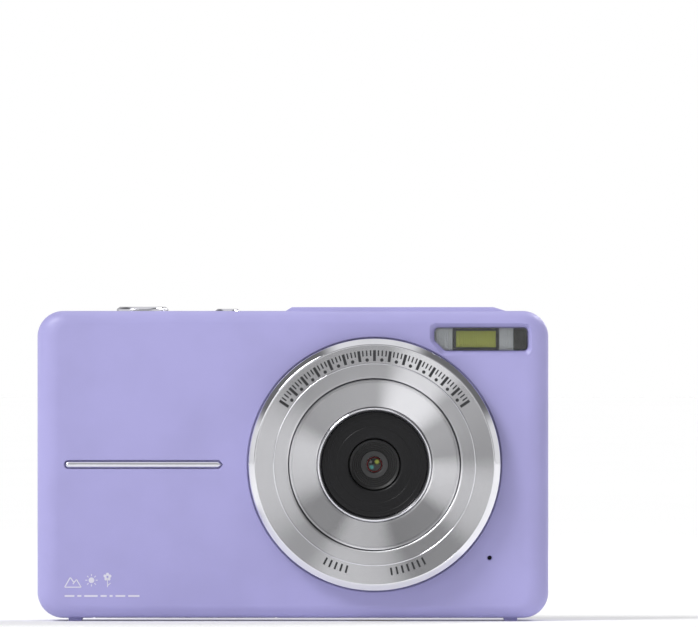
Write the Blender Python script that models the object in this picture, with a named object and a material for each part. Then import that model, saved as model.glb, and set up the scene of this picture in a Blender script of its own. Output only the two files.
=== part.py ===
"""A compact digital camera for children, built as separate pieces.

Units are metres. The front faces -Y, the lens is towards +X and +Z is up. The origin is under the
middle of the camera, on the surface that it stands on.
"""

import math

import bmesh
import bpy
from mathutils import Matrix, Vector

MM = 0.001

# Overall sizes
BODY_WIDTH = 99.0 * MM
BODY_HEIGHT = 59.5 * MM
BODY_DEPTH = 18.0 * MM
CORNER_RADIUS = 5.0 * MM
LENS_PROUD = 4.0 * MM
BEZEL_PROUD = 1.0 * MM
FOOT_HEIGHT = 0.6 * MM

# Walls and clearances
WALL = 1.6 * MM
REST_GAP = 0.3 * MM
SLIP_GAP = 0.15 * MM
KEY_GAP = 0.22 * MM
EMBED = 0.5 * MM
CUT_PAST = 1.5 * MM

# Casing
FRONT_SHELL_DEPTH = 14.9 * MM
ROLL_SIDE = 4.2 * MM
ROLL_TOP = 2.6 * MM
ROLL_DEPTH = 3.0 * MM
INNER_ROLL_SIDE = 2.4 * MM
INNER_ROLL_TOP = 0.8 * MM
LIP_DEPTH = 1.2 * MM
LIP_WALL = 0.6 * MM
BACK_CHAMFER = 1.6 * MM
BUMP_HEIGHT = 0.75 * MM
BUMP_START = 8.2 * MM
BUMP_LENGTH = 42.7 * MM
BUMP_RAMP_NEAR = 2.4 * MM
BUMP_RAMP_FAR = 1.2 * MM
BUMP_RISE = 0.55 * MM
FOOT_INSET = 6.0 * MM
FOOT_WIDTH = 2.6 * MM
FRONT_FOOT_LENGTH = 5.4 * MM
BACK_FOOT_LENGTH = 1.2 * MM

# Lens
LENS_FROM_RIGHT = 33.7 * MM
LENS_RADIUS = 24.4 * MM
LENS_RIM_BEVEL = 1.1 * MM
LENS_GROOVE_RADIUS = 16.65 * MM
TRIM_RADIUS = 11.1 * MM
COVER_RADIUS = 10.25 * MM
BARREL_HEAD_RADIUS = 4.95 * MM
BARREL_RADIUS = 3.6 * MM
GLASS_RADIUS = 1.5 * MM
LENS_SEAT = 1.0 * MM
LENS_OPENING = 9.0 * MM
CAMERA_BOARD = 16.0 * MM
HOLDER_SIDE = 13.0 * MM

# Front details
BAR_FROM_LEFT = 5.4 * MM
BAR_LENGTH = 30.4 * MM
BAR_HEIGHT = 1.3 * MM
BAR_DEPTH = 0.95 * MM
BAR_SEAT = 0.8 * MM
FLASH_FROM_RIGHT = 4.1 * MM
FLASH_FROM_TOP = 3.3 * MM
FLASH_WIDTH = 17.9 * MM
FLASH_HEIGHT = 4.3 * MM
FLASH_CORNER = 0.9 * MM
FLASH_CHAMFER = 2.2 * MM
FLASH_RECESS = 1.0 * MM
FLASH_SUNK = 0.5 * MM
MIC_FROM_RIGHT = 11.4 * MM
MIC_FROM_BOTTOM = 11.7 * MM
MIC_HOLE_RADIUS = 0.45 * MM

# Top buttons
SHUTTER_FROM_LEFT = 20.3 * MM
SHUTTER_RADIUS = 5.0 * MM
SHUTTER_PROUD = 0.8 * MM
SHUTTER_TRAVEL = 0.5 * MM
POWER_FROM_LEFT = 36.8 * MM
POWER_RADIUS = 2.5 * MM
POWER_PROUD = 0.4 * MM
POWER_TRAVEL = 0.3 * MM
TOP_KEY_FROM_FRONT = 8.0 * MM
TOP_FLANGE_LIP = 0.45 * MM
SPRING_RADIUS = 3.5 * MM
SPRING_WIRE = 0.35 * MM
SPRING_TURNS = 4

# Back
SCREEN_FROM_RIGHT = 36.3 * MM
SCREEN_WIDTH = 53.4 * MM
SCREEN_HEIGHT = 40.0 * MM
SCREEN_THICK = 1.0 * MM
SCREEN_SUNK = 0.5 * MM
SCREEN_LEDGE = 1.5 * MM
NAV_RADIUS = 9.2 * MM
NAV_FLANGE_LIP = 0.3 * MM
OK_RADIUS = 3.55 * MM
OK_HOLE_RADIUS = 4.15 * MM
KEY_RADIUS = 3.3 * MM
KEY_SPREAD_X = 5.9 * MM
KEY_SPREAD_Z = 15.2 * MM
KEY_SIDE_GAP = 0.13 * MM
KEY_TRAVEL = 0.35 * MM
KEY_PLAY = 0.4 * MM
KEY_FLANGE = 0.6 * MM
KEY_FLANGE_LIP = 0.4 * MM
KEY_STEM = 1.05 * MM
LIGHT_FROM_LEFT = 18.1 * MM
LIGHT_FROM_TOP = 5.5 * MM
LIGHT_LENGTH = 3.5 * MM
LIGHT_HEIGHT = 1.5 * MM

# Base and sides
DOOR_FROM_LEFT = 11.1 * MM
DOOR_WIDTH = 35.0 * MM
DOOR_DEPTH = 8.8 * MM
DOOR_THICK = 1.4 * MM
HINGE_RADIUS = 1.3 * MM
PIN_RADIUS = 0.7 * MM
BUSH_BORE_RADIUS = 3.0 * MM
BUSH_RADIUS = 4.2 * MM
BUSH_HEIGHT = 9.0 * MM
SPEAKER_RADIUS = 4.8 * MM
USB_HEIGHT = 9.0 * MM
USB_THICK = 3.2 * MM
USB_LENGTH = 7.5 * MM
USB_FROM_BOTTOM = 23.4 * MM
STRAP_FROM_TOP = 11.1 * MM
STRAP_HEIGHT = 8.0 * MM
STRAP_WIDTH = 6.0 * MM
STRAP_DEPTH = 3.3 * MM
STRAP_FROM_FRONT = 7.0 * MM
STRAP_BAR_RADIUS = 0.7 * MM
SCREW_RADIUS = 0.75 * MM
SCREW_HEAD_RADIUS = 1.4 * MM
SCREW_LENGTH = 5.2 * MM
TAB_HALF_WIDTH = 1.8 * MM

# Battery and card
BATTERY_WIDTH = 32.0 * MM
BATTERY_HEIGHT = 39.0 * MM
BATTERY_THICK = 4.6 * MM
CRADLE_WALL = 0.45 * MM
CARD_WIDTH = 24.0 * MM
CARD_HEIGHT = 32.0 * MM
CARD_THICK = 1.9 * MM
SOCKET_WALL = 0.25 * MM
BOARD_THICK = 0.8 * MM

CORNER_STEPS = 5
ROLL_STEPS = 4
FINE = 44
ROUND = 24
SMALL = 14
SMOOTH_BELOW = math.radians(35)

FRONT = Vector((0, -1, 0))
BACK = Vector((0, 1, 0))
UP = Vector((0, 0, 1))
DOWN = Vector((0, 0, -1))
LEFT = Vector((-1, 0, 0))
RIGHT = Vector((1, 0, 0))

# Planes worked out from the sizes above
X_RIGHT = BODY_WIDTH / 2
X_LEFT = -X_RIGHT
Z_LOW = FOOT_HEIGHT
Z_HIGH = Z_LOW + BODY_HEIGHT
Z_MID = (Z_LOW + Z_HIGH) / 2
Y_FRONT = LENS_PROUD - (LENS_PROUD + BODY_DEPTH + BEZEL_PROUD) / 2
Y_BACK = Y_FRONT + BODY_DEPTH
Y_BEZEL = Y_BACK + BEZEL_PROUD
Y_SEAM = Y_FRONT + FRONT_SHELL_DEPTH
INNER_FRONT = Y_FRONT + WALL
INNER_BACK = Y_BACK - WALL
INNER_TOP = Z_HIGH - WALL
INNER_BOTTOM = Z_LOW + WALL
LENS_X = X_RIGHT - LENS_FROM_RIGHT
LIP_OUTSIDE = WALL + SLIP_GAP
LIP_INSIDE = LIP_OUTSIDE + LIP_WALL
NAV_FLANGE_RADIUS = NAV_RADIUS + KEY_GAP + NAV_FLANGE_LIP
KEY_REACH = KEY_SPREAD_X + KEY_RADIUS + KEY_GAP + KEY_FLANGE_LIP
NAV_X = X_LEFT + LIP_INSIDE + KEY_SIDE_GAP + max(NAV_FLANGE_RADIUS, KEY_REACH)
TOP_KEY_Y = Y_FRONT + TOP_KEY_FROM_FRONT
SHUTTER_X = X_LEFT + SHUTTER_FROM_LEFT
POWER_X = X_LEFT + POWER_FROM_LEFT

# The stack of keys, rubber mat and board behind the back wall
KEY_FLANGE_Y = INNER_BACK - KEY_PLAY
KEY_STEM_Y = KEY_FLANGE_Y - KEY_FLANGE - KEY_STEM
DOME_Y = KEY_STEM_Y - KEY_TRAVEL - SLIP_GAP
MAT_Y = DOME_Y - 0.25 * MM
MAT_FRONT_Y = MAT_Y - 0.35 * MM
KEYPAD_Y = MAT_FRONT_Y - REST_GAP

# The battery compartment and what stands over the base
DOOR_X0 = X_LEFT + DOOR_FROM_LEFT
DOOR_X1 = DOOR_X0 + DOOR_WIDTH
HINGE_Y = INNER_FRONT + 0.8 * MM + HINGE_RADIUS
HINGE_Z = Z_LOW + HINGE_RADIUS
DOOR_BACK_Y = HINGE_Y - HINGE_RADIUS + DOOR_DEPTH
BAY_FLOOR = max(HINGE_Z + HINGE_RADIUS, INNER_BOTTOM) + 0.5 * MM
BATTERY_X = (DOOR_X0 + DOOR_X1) / 2
CRADLE_FRONT = INNER_FRONT + REST_GAP
CRADLE_GAP = 0.25 * MM
BATTERY_FRONT = CRADLE_FRONT + CRADLE_WALL + CRADLE_GAP
BATTERY_BACK = BATTERY_FRONT + BATTERY_THICK
CRADLE_BACK = BATTERY_BACK + CRADLE_GAP + CRADLE_WALL
SOCKET_FRONT = CRADLE_BACK + REST_GAP
CARD_FRONT = SOCKET_FRONT + SOCKET_WALL + SLIP_GAP
CARD_BACK = CARD_FRONT + CARD_THICK
SOCKET_BACK = CARD_BACK + SLIP_GAP + SOCKET_WALL
BATTERY_TOP = BAY_FLOOR + BATTERY_HEIGHT
CRADLE_TOP = BATTERY_TOP + 2.2 * MM
TOP_BOARD_Z = INNER_TOP - 7.0 * MM
MAIN_BOARD_Y = Y_FRONT + 10.4 * MM
SOCKET_Y = Y_FRONT + 7.9 * MM
BUSH_TOP = Z_LOW + 0.2 * MM + BUSH_HEIGHT
SPEAKER_X = X_RIGHT - 12.5 * MM
STRAP_Y = Y_FRONT + STRAP_FROM_FRONT
STRAP_Z = Z_HIGH - STRAP_FROM_TOP
SCREW_Y = Y_SEAM - 2.5 * MM
SCREW_LEFT_X = DOOR_X0 - REST_GAP - 3.9 * MM
SCREW_RIGHT_X = LENS_X + 11.7 * MM
SCREW_SIDE_Z = Z_LOW + 7.4 * MM
FLASH_X1 = X_RIGHT - FLASH_FROM_RIGHT
FLASH_X0 = FLASH_X1 - FLASH_WIDTH
FLASH_Z1 = Z_HIGH - FLASH_FROM_TOP
FLASH_Z0 = FLASH_Z1 - FLASH_HEIGHT
SCREEN_X = X_RIGHT - SCREEN_FROM_RIGHT

# Finishes: colour, roughness, metallic
LAVENDER = ((0.40, 0.38, 0.68), 0.45, 0.0)
SILVER = ((0.62, 0.62, 0.64), 0.3, 1.0)
BRIGHT = ((0.8, 0.8, 0.82), 0.12, 1.0)
STEEL = ((0.5, 0.5, 0.52), 0.35, 1.0)
BRASS = ((0.72, 0.55, 0.25), 0.35, 1.0)
BLACK = ((0.02, 0.02, 0.022), 0.3, 0.0)
GREY = ((0.09, 0.09, 0.095), 0.5, 0.0)
CLEAR = ((0.75, 0.8, 0.82), 0.08, 0.0)
MINT = ((0.75, 0.95, 0.88), 0.25, 0.0)
YELLOW = ((0.75, 0.72, 0.15), 0.4, 0.0)
GREEN = ((0.03, 0.2, 0.09), 0.4, 0.0)
RUBBER = ((0.12, 0.12, 0.13), 0.8, 0.0)
ORANGE = ((0.6, 0.28, 0.06), 0.4, 0.0)
BLUE = ((0.05, 0.14, 0.4), 0.4, 0.0)


def solid(name, finish, mesh, location=(0, 0, 0), direction=UP):
    """An object of this mesh, its faces pointing out, with a material of its own."""
    bmesh.ops.recalc_face_normals(mesh, faces=mesh.faces)
    data = bpy.data.meshes.new(name)
    mesh.to_mesh(data)
    mesh.free()
    data.shade_smooth()
    data.set_sharp_from_angle(angle=SMOOTH_BELOW)
    thing = bpy.data.objects.new(name, data)
    thing.location = location
    thing.rotation_mode = "QUATERNION"
    thing.rotation_quaternion = UP.rotation_difference(direction)
    bpy.context.scene.collection.objects.link(thing)
    if finish:
        data.materials.append(material(name, finish))
    return thing


def material(name, finish):
    """A Principled BSDF of this finish."""
    colour, roughness, metallic = finish
    made = bpy.data.materials.new(name)
    made.use_nodes = True
    shader = made.node_tree.nodes["Principled BSDF"]
    shader.inputs["Base Color"].default_value = (*colour, 1)
    shader.inputs["Roughness"].default_value = roughness
    shader.inputs["Metallic"].default_value = metallic
    return made


def loft(name, finish, rings):
    """A closed solid through rings of as many points each, with both ends capped."""
    mesh = bmesh.new()
    loops = [[mesh.verts.new(point) for point in ring] for ring in rings]
    for near, far in zip(loops, loops[1:]):
        for i, point in enumerate(near):
            mesh.faces.new((near[i - 1], point, far[i], far[i - 1]))
    mesh.faces.new(loops[0])
    mesh.faces.new(loops[-1])
    return solid(name, finish, mesh)


def turned(name, finish, profile, centre, direction=UP, segments=ROUND):
    """A profile of (radius, height) turned round the direction, closed on itself or on the axis."""
    mesh = bmesh.new()
    loops = []
    for radius, height in profile:
        count = segments if radius else 1
        angles = [2 * math.pi * i / segments for i in range(count)]
        loops.append([mesh.verts.new((radius * math.cos(a), radius * math.sin(a), height)) for a in angles])
    pairs = list(zip(loops, loops[1:]))
    if profile[0][0] and profile[-1][0]:
        pairs.append((loops[-1], loops[0]))
    for near, far in pairs:
        for i in range(segments):
            j = (i + 1) % segments
            corners = (near[i % len(near)], near[j % len(near)], far[j % len(far)], far[i % len(far)])
            corners = list(dict.fromkeys(corners))
            if len(corners) > 2:
                mesh.faces.new(corners)
    return solid(name, finish, mesh, centre, direction)


def block(name, finish, x, y, z):
    """A box between two values on each axis, with its origin at its middle."""
    mesh = bmesh.new()
    bmesh.ops.create_cube(mesh, size=1)
    size = Vector((x[1] - x[0], y[1] - y[0], z[1] - z[0]))
    bmesh.ops.scale(mesh, vec=size, verts=mesh.verts)
    return solid(name, finish, mesh, ((x[0] + x[1]) / 2, (y[0] + y[1]) / 2, (z[0] + z[1]) / 2))


def ribbon(name, finish, x, path, thickness):
    """A strip between two values of x, bent along a path of (y, z) points."""
    sides = ([], [])
    points = [Vector(point) for point in path]
    for i, point in enumerate(points):
        before = (point - points[i - 1]).normalized() if i else Vector((0, 0))
        after = (points[i + 1] - point).normalized() if i + 1 < len(points) else Vector((0, 0))
        along = (before + after).normalized()
        across = Vector((-along.y, along.x)) * thickness / 2
        sides[0].append(point + across)
        sides[1].append(point - across)
    outline = sides[0] + sides[1][::-1]
    return loft(name, finish, [[(end, *point) for point in outline] for end in x])


def drill(name, radius, start, end, segments=ROUND):
    """A cutter: a cylinder from one point to another."""
    along = Vector(end) - Vector(start)
    profile = ((0, 0), (radius, 0), (radius, along.length), (0, along.length))
    return turned(name, None, profile, start, along, segments)


def combine(target, operation, tools):
    """Adds or takes away the tools, and hides them."""
    for tool in tools:
        step = target.modifiers.new(tool.name, "BOOLEAN")
        step.operation = operation
        step.object = tool
        tool.hide_render = True
        tool.display_type = "WIRE"


def cut(target, *tools):
    """Takes the tools away from the target."""
    combine(target, "DIFFERENCE", tools)


def fuse(target, *tools):
    """Joins the tools to the target."""
    combine(target, "UNION", tools)


def around(centre, half):
    """The two values this far to each side of a centre."""
    return centre - half, centre + half


def rectangle(x0, x1, z0, z1):
    """Corners, anticlockwise as the front of the camera shows them."""
    return [(x1, z0), (x1, z1), (x0, z1), (x0, z0)]


def rounded(corners, radius, steps=CORNER_STEPS):
    """The outline through the corners with an arc at each one."""
    points = []
    for i, corner in enumerate(corners):
        here = Vector(corner)
        back = (Vector(corners[i - 1]) - here).normalized()
        ahead = (Vector(corners[(i + 1) % len(corners)]) - here).normalized()
        half = back.angle(ahead) / 2
        centre = here + (back + ahead).normalized() * radius / math.sin(half)
        start = here + back * radius / math.tan(half) - centre
        for k in range(steps + 1):
            turn = Matrix.Rotation((math.pi - 2 * half) * k / steps, 2)
            points.append(centre + turn @ start)
    return points


def at_y(outline, y):
    """An outline of (x, z) points stood up at this y."""
    return [(x, y, z) for x, z in outline]


def slab(name, finish, outline, y0, y1):
    """An outline given a thickness from y0 to y1."""
    return loft(name, finish, [at_y(outline, y0), at_y(outline, y1)])


def body_ring(y, inset_x, inset_z=None, bump=0.0):
    """One ring of the casing, this far inside its outline, with the low step along its top."""
    inset_z = inset_x if inset_z is None else inset_z
    radius = max(CORNER_RADIUS - min(inset_x, inset_z), 1.0 * MM)
    high = Z_HIGH - inset_z
    corners = rectangle(X_LEFT + inset_x, X_RIGHT - inset_x, Z_LOW + inset_z, high)
    points = rounded(corners, radius)
    near = X_RIGHT - BUMP_START
    far = near - BUMP_LENGTH
    crest = [(near - BUMP_RAMP_NEAR, high + bump), (far + BUMP_RAMP_FAR, high + bump)]
    step = [(near, high), *crest, (far, high)]
    top_right_end = 2 * (CORNER_STEPS + 1)
    return at_y(points[:top_right_end] + step + points[top_right_end:], y)


def foot(name, x, y):
    """A moulded foot, sunk into the wall above it."""
    outline = rectangle(x, x + FOOT_WIDTH, 0, Z_LOW + EMBED)
    return slab(name, None, outline, *y)


def feet_left_edges():
    """The left edges of the two rows of feet."""
    return X_LEFT + FOOT_INSET, X_RIGHT - FOOT_INSET - FOOT_WIDTH


def front_shell():
    """The front casing: a cup with a rolled front edge, cut for everything that passes through it."""
    roll_end = Y_FRONT + ROLL_DEPTH
    rings = []
    for i in range(ROLL_STEPS + 1):
        turn = math.pi / 2 * i / ROLL_STEPS
        left = 1 - math.sin(turn)
        rings.append(body_ring(roll_end - ROLL_DEPTH * math.cos(turn), ROLL_SIDE * left, ROLL_TOP * left))
    rim = Y_SEAM - REST_GAP / 2
    rings.append(body_ring(roll_end + BUMP_RISE, 0, bump=BUMP_HEIGHT))
    rings.append(body_ring(rim, 0, bump=BUMP_HEIGHT))
    rings.append(body_ring(rim, WALL))
    rings.append(body_ring(roll_end, WALL))
    rings.append(body_ring(INNER_FRONT, WALL + INNER_ROLL_SIDE, WALL + INNER_ROLL_TOP))
    shell = loft("front_shell", LAVENDER, rings)
    foot_y = roll_end, roll_end + FRONT_FOOT_LENGTH
    for i, x in enumerate(feet_left_edges()):
        fuse(shell, foot(f"front_foot_{i}", x, foot_y))
    for i, side in enumerate(((DOOR_X0 - REST_GAP, -1), (DOOR_X1 + REST_GAP, 1))):
        x = sorted((side[0], side[0] + side[1] * 1.8 * MM))
        ear_y = around(HINGE_Y, HINGE_RADIUS)
        fuse(shell, block(f"hinge_ear_{i}", None, x, ear_y, (Z_LOW + EMBED, HINGE_Z + HINGE_RADIUS)))
    fuse(shell, strap_boss())
    lens = (LENS_X, Y_FRONT, Z_MID)
    ring_radius = LENS_RADIUS + KEY_GAP
    seat_back = Vector(lens) + BACK * LENS_SEAT
    cut(shell, drill("lens_seat", ring_radius, Vector(lens) + FRONT * CUT_PAST, seat_back, FINE))
    cut(shell, drill("lens_opening", LENS_OPENING, Vector(lens), Vector(lens) + BACK * WALL * 2, ROUND))
    cut(shell, flash_recess(), flash_hole(), bar_groove(), mic_hole(), *top_key_holes())
    cut(shell, door_opening(), pin_hole(), bush_hole(), *speaker_slots(), usb_hole())
    cut(shell, strap_pocket(), strap_pin_hole(), *screw_seats())
    return shell


def flash_outline(margin):
    """The flash window's outline, this much larger all round."""
    x0, x1 = FLASH_X0 - margin, FLASH_X1 + margin
    z0, z1 = FLASH_Z0 - margin, FLASH_Z1 + margin
    chamfer = FLASH_CHAMFER + margin
    corners = [(x1, z0), (x1, z1), (x0, z1), (x0, z0 + chamfer * 0.7), (x0 + chamfer, z0)]
    return rounded(corners, FLASH_CORNER + margin / 2, 3)


def flash_recess():
    """A cutter: the sloping recess round the flash window."""
    wide = flash_outline(FLASH_RECESS)
    floor = Y_FRONT + FLASH_SUNK
    narrow = flash_outline(SLIP_GAP * 2)
    rings = [at_y(wide, Y_FRONT - CUT_PAST), at_y(wide, Y_FRONT), at_y(narrow, floor)]
    return loft("flash_recess", None, rings)


def flash_hole():
    """A cutter: the hole that holds the flash window."""
    return slab("flash_hole", None, flash_outline(SLIP_GAP), Y_FRONT - CUT_PAST, INNER_FRONT + CUT_PAST)


def bar_outline(margin):
    """The accent bar's outline: its left end round, its right end pointed."""
    half = BAR_HEIGHT / 2 + margin
    x0 = X_LEFT + BAR_FROM_LEFT - margin
    x1 = X_LEFT + BAR_FROM_LEFT + BAR_LENGTH + margin
    arc = []
    for i in range(7):
        turn = math.pi / 2 + math.pi * i / 6
        arc.append((x0 + half + half * math.cos(turn), Z_MID + half * math.sin(turn)))
    return [(x1 - half * 2, Z_MID - half), (x1, Z_MID), (x1 - half * 2, Z_MID + half)] + arc


def bar_groove():
    """A cutter: the groove that the accent bar lies in."""
    return slab("bar_groove", None, bar_outline(SLIP_GAP), Y_FRONT - CUT_PAST, Y_FRONT + BAR_SEAT)


def accent_bar():
    """The slim bright bar, its front edge bevelled to half its height."""
    full = bar_outline(0)
    slim = bar_outline(-BAR_HEIGHT * 0.3)
    low = Y_FRONT + BAR_SEAT - REST_GAP / 2
    top = low - BAR_DEPTH
    shoulder = top + BAR_HEIGHT * 0.3
    return loft("accent_bar", BRIGHT, [at_y(slim, top), at_y(full, shoulder), at_y(full, low)])


def mic_point(y):
    """A point on the microphone's axis."""
    return Vector((X_RIGHT - MIC_FROM_RIGHT, y, Z_LOW + MIC_FROM_BOTTOM))


def mic_hole():
    """A cutter: the sound hole."""
    ends = mic_point(Y_FRONT - CUT_PAST), mic_point(INNER_FRONT + EMBED)
    return drill("mic_hole", MIC_HOLE_RADIUS, *ends, SMALL)


def top_key_holes():
    """Cutters: the holes of the shutter and power buttons."""
    holes = []
    for name, x, radius in (("shutter", SHUTTER_X, SHUTTER_RADIUS), ("power", POWER_X, POWER_RADIUS)):
        low = (x, TOP_KEY_Y, INNER_TOP - CUT_PAST)
        high = (x, TOP_KEY_Y, Z_HIGH + CUT_PAST)
        holes.append(drill(f"{name}_hole", radius + KEY_GAP, low, high))
    return holes


def door_opening():
    """A cutter: the opening for the battery door."""
    x = DOOR_X0 - REST_GAP, DOOR_X1 + REST_GAP
    y = HINGE_Y - HINGE_RADIUS - REST_GAP, DOOR_BACK_Y + REST_GAP
    return block("door_opening", None, x, y, (Z_LOW - CUT_PAST, INNER_BOTTOM + EMBED))


def pin_hole():
    """A cutter: the bore for the hinge pin, through the door and into the ears beside it."""
    start = (DOOR_X0 - REST_GAP - 1.2 * MM, HINGE_Y, HINGE_Z)
    end = (DOOR_X1 + REST_GAP + 1.2 * MM, HINGE_Y, HINGE_Z)
    return drill("pin_hole", PIN_RADIUS + 0.05 * MM, start, end, SMALL)


def bush_hole():
    """A cutter: the hole that the tripod bush shows through."""
    ends = [(LENS_X, SOCKET_Y, z) for z in (Z_LOW - CUT_PAST, INNER_BOTTOM + EMBED)]
    return drill("bush_hole", BUSH_RADIUS + SLIP_GAP, *ends)


def speaker_slots():
    """Cutters: three sound slots in the base."""
    slots = []
    for i in (-1, 0, 1):
        x = around(SPEAKER_X + i * 2.6 * MM, 0.4 * MM)
        y = around(SOCKET_Y, 2.5 * MM)
        slots.append(block(f"speaker_slot_{i + 1}", None, x, y, (Z_LOW - CUT_PAST, INNER_BOTTOM + EMBED)))
    return slots


def usb_hole():
    """A cutter: the hole in the side for a cable's plug."""
    y = around(SOCKET_Y, USB_THICK / 2 + SLIP_GAP)
    z = around(Z_LOW + USB_FROM_BOTTOM, USB_HEIGHT / 2 + SLIP_GAP)
    return block("usb_hole", None, (X_RIGHT - WALL - EMBED, X_RIGHT + CUT_PAST), y, z)


def strap_boss():
    """The thick block behind the strap recess."""
    x = X_LEFT + WALL / 2, X_LEFT + STRAP_DEPTH + 1.4 * MM
    half = STRAP_HEIGHT / 2 + 1.5 * MM
    return block("strap_boss", None, x, around(STRAP_Y, STRAP_WIDTH / 2 + 1.2 * MM), around(STRAP_Z, half))


def strap_pocket():
    """A cutter: the recess that a strap's cord passes through, behind its bar."""
    x = X_LEFT - CUT_PAST, X_LEFT + STRAP_DEPTH
    y, z = around(STRAP_Y, STRAP_WIDTH / 2), around(STRAP_Z, STRAP_HEIGHT / 2)
    return block("strap_pocket", None, x, y, z)


def strap_pin_point(end):
    """A point on the strap bar's axis, past its recess by this much."""
    x = X_LEFT + 0.4 * MM + STRAP_BAR_RADIUS
    return Vector((x, STRAP_Y, STRAP_Z + math.copysign(STRAP_HEIGHT / 2, end) + end))


def strap_pin_hole():
    """A cutter: the bore that holds the strap bar's ends."""
    ends = strap_pin_point(-1.1 * MM), strap_pin_point(1.1 * MM)
    return drill("strap_pin_hole", STRAP_BAR_RADIUS + SLIP_GAP / 2, *ends, SMALL)


def strap_bar():
    """The metal bar across the strap recess."""
    bottom = strap_pin_point(-0.9 * MM)
    height = strap_pin_point(0.9 * MM).z - bottom.z
    profile = ((0, 0), (STRAP_BAR_RADIUS, 0), (STRAP_BAR_RADIUS, height), (0, height))
    return turned("strap_bar", STEEL, profile, bottom, UP, SMALL)


def screw_places():
    """Each case screw's name, the point on the casing's surface over it, and the way it drives in."""
    return (
        ("case_screw_bottom_left", Vector((SCREW_LEFT_X, SCREW_Y, Z_LOW)), UP),
        ("case_screw_bottom_right", Vector((SCREW_RIGHT_X, SCREW_Y, Z_LOW)), UP),
        ("case_screw_side_left", Vector((X_LEFT, SCREW_Y, SCREW_SIDE_Z)), RIGHT),
        ("case_screw_side_right", Vector((X_RIGHT, SCREW_Y, SCREW_SIDE_Z)), LEFT),
    )


def screw_seats():
    """Cutters: a sunk seat and a hole through the front casing for each screw."""
    seats = []
    for name, point, inward in screw_places():
        low, sunk = WALL / 2, WALL + EMBED
        wide, slim = SCREW_HEAD_RADIUS + SLIP_GAP, SCREW_RADIUS + SLIP_GAP
        profile = ((0, -CUT_PAST), (wide, -CUT_PAST), (wide, low), (slim, low), (slim, sunk), (0, sunk))
        seats.append(turned(f"{name}_seat", None, profile, point, inward, SMALL))
    return seats


def screws():
    """The four case screws, with pan heads in their sunk seats."""
    for name, point, inward in screw_places():
        head_top = 0.1 * MM
        head_low = WALL / 2 - SLIP_GAP
        profile = (
            (0, head_top),
            (SCREW_HEAD_RADIUS * 0.75, head_top),
            (SCREW_HEAD_RADIUS, (head_top + head_low) / 2),
            (SCREW_HEAD_RADIUS, head_low),
            (SCREW_RADIUS, head_low),
            (SCREW_RADIUS, head_low + SCREW_LENGTH - SCREW_RADIUS),
            (SCREW_RADIUS / 3, head_low + SCREW_LENGTH),
            (0, head_low + SCREW_LENGTH),
        )
        turned(name, STEEL, profile, point, inward, SMALL)


def rear_shell():
    """The back casing: a shallow cup with a lip, four screw tabs and the raised screen surround."""
    rim = Y_SEAM + REST_GAP / 2
    slope_start = Y_BACK - BACK_CHAMFER
    rings = [
        body_ring(INNER_BACK, LIP_INSIDE),
        body_ring(Y_SEAM - LIP_DEPTH, LIP_INSIDE),
        body_ring(Y_SEAM - LIP_DEPTH, LIP_OUTSIDE),
        body_ring(rim, LIP_OUTSIDE),
        body_ring(rim, 0, bump=BUMP_HEIGHT),
        body_ring(slope_start - 2 * BUMP_RISE, 0, bump=BUMP_HEIGHT),
        body_ring(slope_start - BUMP_RISE, 0),
        body_ring(slope_start, 0),
        body_ring(Y_BACK, BACK_CHAMFER),
    ]
    shell = loft("rear_shell", LAVENDER, rings)
    foot_y = slope_start - BACK_FOOT_LENGTH, slope_start
    for i, x in enumerate(feet_left_edges()):
        fuse(shell, foot(f"back_foot_{i}", x, foot_y))
    fuse(shell, screen_surround(), *screw_tabs())
    cut(shell, screen_slope(), screen_pocket(), screen_opening())
    nav_centre = Vector((NAV_X, Y_BACK, Z_MID))
    cut(shell, back_hole("nav_hole", nav_centre, NAV_RADIUS + KEY_GAP, 36))
    for name, centre in round_keys():
        cut(shell, back_hole(f"{name}_hole", centre, KEY_RADIUS + KEY_GAP, ROUND))
    cut(shell, slab("light_hole", None, light_outline(SLIP_GAP), INNER_BACK - CUT_PAST, Y_BACK + CUT_PAST))
    return shell


def back_hole(name, centre, radius, segments):
    """A cutter: a round hole through the back wall."""
    return drill(name, radius, centre + FRONT * (WALL + CUT_PAST), centre + BACK * CUT_PAST, segments)


def screen_surround():
    """The raised surround of the screen, with a wide slope towards the buttons."""
    x0, x1 = NAV_X + 12.8 * MM, X_RIGHT - BACK_CHAMFER - 0.2 * MM
    z0, z1 = Z_LOW + 2.6 * MM, Z_HIGH - BACK_CHAMFER - 0.2 * MM
    foot_outline = rounded(rectangle(x0, x1, z0, z1), 3.6 * MM)
    crest = rectangle(x0 + 4.4 * MM, x1 - 1.6 * MM, z0 + 1.6 * MM, z1 - 2.7 * MM)
    crest_outline = rounded(crest, 2.4 * MM)
    sunk = Y_BACK - EMBED
    rings = [at_y(foot_outline, sunk), at_y(foot_outline, Y_BACK + 0.05 * MM), at_y(crest_outline, Y_BEZEL)]
    return loft("screen_surround", None, rings)


def screen_outline(margin, radius=0.8 * MM):
    """The screen window's outline, this much larger all round."""
    x = around(SCREEN_X, SCREEN_WIDTH / 2 + margin)
    z = around(Z_MID, SCREEN_HEIGHT / 2 + margin)
    return rounded(rectangle(*x, *z), radius, 3)


def screen_slope():
    """A cutter: the slope from the surround down to the screen window."""
    x = SCREEN_X - SCREEN_WIDTH / 2 - 2.2 * MM, SCREEN_X + SCREEN_WIDTH / 2 + 2.0 * MM
    z = around(Z_MID, SCREEN_HEIGHT / 2 + 1.0 * MM)
    wide = rounded(rectangle(*x, *z), 0.8 * MM, 3)
    narrow = screen_outline(SLIP_GAP * 2)
    return loft("screen_slope", None, [
        at_y(narrow, Y_BEZEL - SCREEN_SUNK),
        at_y(wide, Y_BEZEL),
        at_y(wide, Y_BEZEL + CUT_PAST),
    ])


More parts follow.
